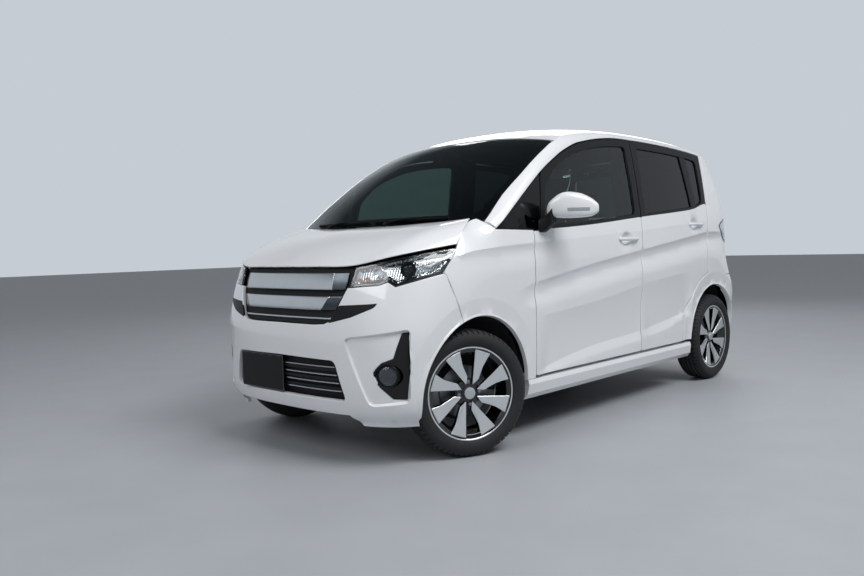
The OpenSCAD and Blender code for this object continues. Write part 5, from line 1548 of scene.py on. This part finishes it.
# One blade seen from outside, pointing up: across, out from the hub
BLADE = [[41, rim_r + 3], [-39, rim_r + 3], [-32, rim_r - 22], [-25, rim_r - 45], [-25, 70], [-3, 38]]
blades, blade_turn, blade_low, blade_high, blade_dish = 8, -20.0, 34, 58, 7
nuts, nut_circle = 4, 50
rim_verts, rim_faces = turned(rounded(RIM, 3, 2), 96, closed=True)
rim_middles = np.array([rim_verts[f].mean(0) for f in rim_faces])
rim_reach = np.hypot(rim_middles[:, 0], rim_middles[:, 2])
rim_picks = ((rim_middles[:, 1] > 63) & (rim_reach > rim_r + 11)).astype(int)
wheel_parts = [(rim_verts, rim_faces, rim_picks)]
blade_edge = rounded(BLADE, 5, 3)
for i in range(blades):
    verts, faces = slab(blade_edge, blade_low, blade_high, 3.0)
    out_from = np.hypot(verts[:, 0], verts[:, 2])
    dish = -blade_dish * (1 - ease(40, 165, out_from)) + blade_dish * ease(150, 192, out_from)
    verts[:, 1] += np.where(verts[:, 1] > 50, dish, 0)
    # The closing face and the bevels nearest to it are machined, the sides stay black
    picks = np.array([1 if np.mean(verts[f][:, 1]) > 47 and len(f) != 4 or np.min(verts[f][:, 1]) > 46 else 0
                      for f in faces])
    wheel_parts.append((*moved((verts, faces), about_y=math.radians(blade_turn - i * 360 / blades)), picks))
hub_face = turned([(0.05, 8), (64, 8), (66, 24), (62, 36), (54, 39), (34, 38), (0.05, 38)], 64)
cap = turned([(27, 34), (27.5, 52), (25.5, 56), (20, 58), (10, 59), (0.05, 59.3)], 48)
wheel_parts += [(*hub_face, 0), (*cap, 2)]
nut = turned([(10, 32), (10, 46), (8.6, 49), (5, 50.5), (0.05, 51)], 6)
for i in range(nuts):
    spot = math.radians(4 + i * 360 / nuts)
    wheel_parts.append((*moved(nut, (nut_circle * math.sin(spot), 0, nut_circle * math.cos(spot))), 3))
disc = turned([(60, -22), (116, -22), (118, -20), (118, -12), (116, -10), (60, -10)], 64, closed=True)
disc_hub = turned([(0.05, -12), (58, -12), (60, -10), (60, 8), (57, 10), (0.05, 10)], 48)
wheel_parts += [(*disc, 3), (*disc_hub, 4)]
print("parts in a wheel:", len(wheel_parts))

# %% Tyre
# Half of the outer section from the bead to the middle groove, then the inside: radius, depth
crown, tyre_half = tyre_diameter / 2, 82.5
OUTER = [(rim_r + 17.6, 64), (rim_r + 18.5, 71), (rim_r + 22, 74.5), (rim_r + 31, 78.5), (rim_r + 34, 79.0),
         (rim_r + 35, 80.4), (rim_r + 40, 81.6), (rim_r + 47, tyre_half), (rim_r + 56, 81.4),
         (crown - 25, 78.2), (crown - 21, 76.4), (crown - 20, 75), (crown - 12, 69), (crown - 7.5, 63.5),
         (crown - 4.5, 57), (crown - 2.6, 50), (crown - 2, 44), (crown - 8, 43), (crown - 8, 36),
         (crown - 1.2, 35), (crown - 0.4, 24), (crown - 0.3, 18), (crown - 7.5, 17), (crown - 7.5, 9),
         (crown, 8)]
INNER = [(rim_r + 0.3, -61), (rim_r + 0.3, -42), (rim_r + 18, -42), (crown - 24, -50), (crown - 24, 50),
         (rim_r + 18, 44), (rim_r + 0.3, 44), (rim_r + 0.3, 61)]
tyre_section = OUTER + [(r, -y) for r, y in reversed(OUTER)] + INNER
# Blocks round the tyre, the columns of each block, depth of the cross cuts
pitches, pitch_shares, cut = 62, (0.0, 0.72, 0.76, 0.96), 5.0
tyre_rows = []
for k, (r, y) in enumerate(tyre_section):
    shoulder = k < 2 * len(OUTER) and 44 <= abs(y) <= 72 and r > crown - 16
    row = []
    for i in range(pitches):
        for share in pitch_shares:
            t = 2 * math.pi * (i + share + 0.006 * (abs(y) - 44)) / pitches
            radius = r - (cut if shoulder and share > 0.75 else 0)
            row.append([radius * math.cos(t), y, radius * math.sin(t)])
    tyre_rows.append(row)
tyre_form = rings(tyre_rows, closed_rows=True)
print("points in a tyre:", len(tyre_form[0]))

# %% Four wheels in their places
parked = math.radians(-23.0)
kingpin_y, scrub, wheel_yr = 600.0, 50.0, 645.0
sine, cosine = math.sin(parked), math.cos(parked)
PLACES = {"front_left": (axle_f - scrub * sine, kingpin_y + scrub * cosine, parked),
          "front_right": (axle_f + scrub * sine, -kingpin_y - scrub * cosine, parked + math.pi),
          "rear_left": (axle_r, wheel_yr, 0.0), "rear_right": (axle_r, -wheel_yr, math.pi)}
for name, (x, y, turn) in PLACES.items():
    parts = [(*moved((v, f), (x, y, axle_z), about_z=turn), pick) for v, f, pick in wheel_parts]
    joined("alloy_" + name, "wheel_" + name, [piano_black, machined, cap_grey, zinc_steel, cast_grey], parts,
           replaces=["wheel_" + name])
    joined("tread_" + name, "wheel_" + name, [rubber],
           [(*moved(tyre_form, (x, y, axle_z), about_z=turn), 0)], replaces=["tyre_" + name])

# %% [markdown]
# ## Wipers
# Two arms rest at the foot of the screen. Each has a slim blade that follows the glass, a bowed arm and
# a capped pivot on the scuttle.

# %% Wipers
# Section of the blade: shift along the glass, depth below it
BLADE_RING = [(-4, 2.6), (-4, -3), (-1.5, -9), (1.5, -9), (4, -3), (4, 2.6)]
blade_u, pivot_u = -124.0, -104.0
pivot_cap = turned([(13, -8), (13, 2), (11, 6), (6, 8), (0.05, 8.5)], 20)
wiper_parts = []
for first, last, pivot in ((-0.72, -0.02, -0.50), (0.03, 0.72, 0.18)):
    shares = np.linspace(first, last, 25)
    blade_ring = [span(np.full(len(shares), blade_u + shift), shares, d) for shift, d in BLADE_RING]
    wiper_parts.append((*rings(np.stack(blade_ring, 1)), 0))
    foot = span(np.array([pivot_u]), np.array([pivot]), -6)[0]
    tip = span(np.array([blade_u]), np.array([(first + last) / 2 + 0.08]), -11)[0]
    mid = (foot + tip) / 2 + [0, 0, 7]
    arm = [foot, foot * 0.6 + mid * 0.4 + [0, 0, 2], mid, mid * 0.4 + tip * 0.6 + [0, 0, 1], tip]
    wiper_parts.append((*swept(arm, np.array([8, 7, 6, 5, 4.0]), 10, 0.6), 0))
    wiper_parts.append((*moved(pivot_cap, foot, towards=(0.4, 0, 0.9)), 0))
joined("wiper_arms", "body", [satin_black], wiper_parts, replaces=["wipers"])

# %% [markdown]
# ## Seats
# Foam under cloth is never flat. Each cushion is lofted along a path through closed rings, thick in the
# middle and drawn in at its ends; two sewn channels and a piped edge are pressed into the rings. That is
# quicker and steadier than a cloth simulation for pads that are seen through dark glass.

# %% Cushion form
channel_deep, channel_wide, seam_deep, seam_wide = 7, 9, 3, 5


def cushion(path, half_wide, half_thick, channels=(-0.5, 0.5), n=72):
    """Rings along a path of (x, z): crowned, drawn in at the ends, with sewn channels along it."""
    pts = spread(path, 16, closed=False)
    ahead = unit(np.gradient(pts, axis=0))
    normal = np.stack([-ahead[:, 1], ahead[:, 0]], 1)
    along_it = np.linspace(-1, 1, len(pts))
    rows = []
    for (x, z), (nx, nz), s in zip(pts, normal, along_it):
        end = (1 - abs(s) ** 7) ** 0.5 * 0.97 + 0.03
        row = []
        for t in np.linspace(0, 2 * math.pi, n, endpoint=False):
            across = float(bow(t, 0.55))
            thick = float(bow(t - math.pi / 2, 0.62)) * (1 - 0.10 * across**2)
            pressed = sum(channel_deep * math.exp(-((across - c) * half_wide / channel_wide) ** 2)
                          for c in channels)
            pinch = pressed * max(0, math.sin(t)) ** 0.5
            seam = seam_deep * math.exp(-((thick * half_thick) / seam_wide) ** 2)
            h = thick * half_thick * end - pinch * end
            wide = (half_wide - seam) * (0.94 + 0.06 * (1 - s * s)) * (0.86 + 0.14 * end)
            row.append([x + nx * h, wide * across, z + nz * h])
        rows.append(row)
    return rings(rows)


def cloth_picks(part):
    """Woven cloth between the channels, knitted cloth at the sides."""
    verts, faces = part
    wide = np.abs(np.asarray(verts)[:, 1]).max()
    return [0 if abs(np.mean([verts[i][1] for i in f])) < 0.52 * wide else 1 for f in faces]


def seat_pad(name, path, wide, thick, y=0.0, channels=(-0.5, 0.5), replaces=()):
    """One padded piece of a seat, with its middle at y."""
    verts, faces = cushion(path, wide, thick, channels)
    made = joined(name, "body", [seat_weave, seat_side],
                  [(verts + [0, y, 0], faces, cloth_picks((verts, faces)))], replaces)


# %% Seats in their places
# Name, path along the pad, half width, half thickness
FRONT_PADS = [("cushion", [[322, 512], [120, 494], [-110, 476], [-190, 478]], 238, 72),
              ("back", [[-214, 500], [-262, 700], [-300, 900], [-312, 1060]], 232, 54),
              ("headrest", [[-304, 1112], [-310, 1160], [-314, 1222]], 128, 38)]
REAR_PADS = [("cushion", [[-520, 512], [-700, 498], [-900, 484], [-1000, 482]], 470, 70),
             ("back", [[-1010, 500], [-1064, 700], [-1106, 880], [-1124, 1050]], 466, 52)]
REAR_HEADREST = [[-1118, 1098], [-1126, 1140], [-1130, 1186]]
for side_name, side in SIDES:
    middle_y = side * 306.0
    for pad_name, path, wide, thick in FRONT_PADS:
        seat_pad("front_seat_%s_%s" % (pad_name, side_name), path, wide, thick, middle_y,
                 replaces=["front_seats"] if pad_name == "cushion" else ())
    posts = [(*swept([[-300, middle_y + k, 1030], [-306, middle_y + k, 1125]], 6, 10), 0) for k in (-55, 55)]
    plinth = rounded([[-200, 226], [280, 226], [300, 420], [-170, 410]], 30, 5)
    posts.append((*moved(slab(plinth, -190, 190, 12), (0, middle_y, 0)), 1))
    joined("front_seat_base_" + side_name, "body", [zinc_steel, grained_black], posts)
for pad_name, path, wide, thick in REAR_PADS:
    seat_pad("rear_seat_" + pad_name, path, wide, thick, channels=(-0.72, -0.28, 0.0, 0.28, 0.72),
             replaces=["rear_seat"] if pad_name == "cushion" else ())
for side_name, side in SIDES:
    seat_pad("rear_headrest_" + side_name, REAR_HEADREST, 120, 34, side * 240.0)
bench = rounded([[-990, 366], [-520, 358], [-510, 430], [-1000, 430]], 20, 4)
joined("rear_seat_base", "body", [grained_black], [(*slab(bench, -455, 455, 10), 0)])
print("padded pieces:", 2 * len(FRONT_PADS) + len(REAR_PADS) + len(SIDES))

# %% [markdown]
# ## Cabin front
# Behind the screen the dashboard, the wheel and a plain instrument hood are seen. The dashboard and the
# steering wheel are CAD solids whose shapes are right, so they only get their finishes.

# %% Instrument hood and screen
# Sections of the hood: x, half width, height, half rise
HOOD = [[640, 60, 985, 8], [668, 150, 962, 40], [720, 165, 972, 46], [790, 160, 984, 30], [832, 120, 986, 6]]
driver_y = -330
hood_rows = [[[x, driver_y + a, z + b] for a, b in oval(half, rise, 0.7, 32)] for x, half, z, rise in HOOD]
display = slab(rounded(rectangle(-125, -72, 125, 72), 12, 4), 0, 16, 4)
joined("dash_hood", "body", [dash_skin, piano_black],
       [(*rings(hood_rows), 0), (*moved(display, (596, 20, 878), towards=(-0.96, 0, 0.26)), 1)])
mirror_slab = slab(rounded(rectangle(-110, -30, 110, 30), 26, 6), -8, 10, 5)
mirror_stem = swept([[526, 0, 1412], [534, 0, 1424], [540, 0, 1433]], 6)
joined("room_mirror", "body", [grained_black],
       [(*moved(mirror_slab, (520, 0, 1412), towards=(-1, 0, -0.1)), 0), (*mirror_stem, 0)])

# %% [markdown]
# ## Finishes on the CAD solids that stay
# The underbody, the running gear and the hidden frame keep their CAD shapes and get real finishes.

# %% Finishes on CAD nodes
NODE_FINISH = {"floor_pan": underseal, "bulkhead": underseal, "fuel_tank": underseal, "sills": pearl,
               "rear_header": pearl, "pillars": dash_skin, "dashboard": dash_skin,
               "steering_wheel": wheel_leather, "wheel_liners": liner_felt, "scuttle": grained_black,
               "grille_backing": grained_black, "door_hinges": zinc_steel, "exhaust": zinc_steel,
               "powertrain": cast_grey, "front_suspension": cast_grey, "knuckle_left": cast_grey,
               "knuckle_right": cast_grey, "rear_axle": cast_grey}
for node, finish in NODE_FINISH.items():
    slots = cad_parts[node].data.materials
    slots.clear()
    slots.append(finish)
print("CAD nodes finished:", len(NODE_FINISH))
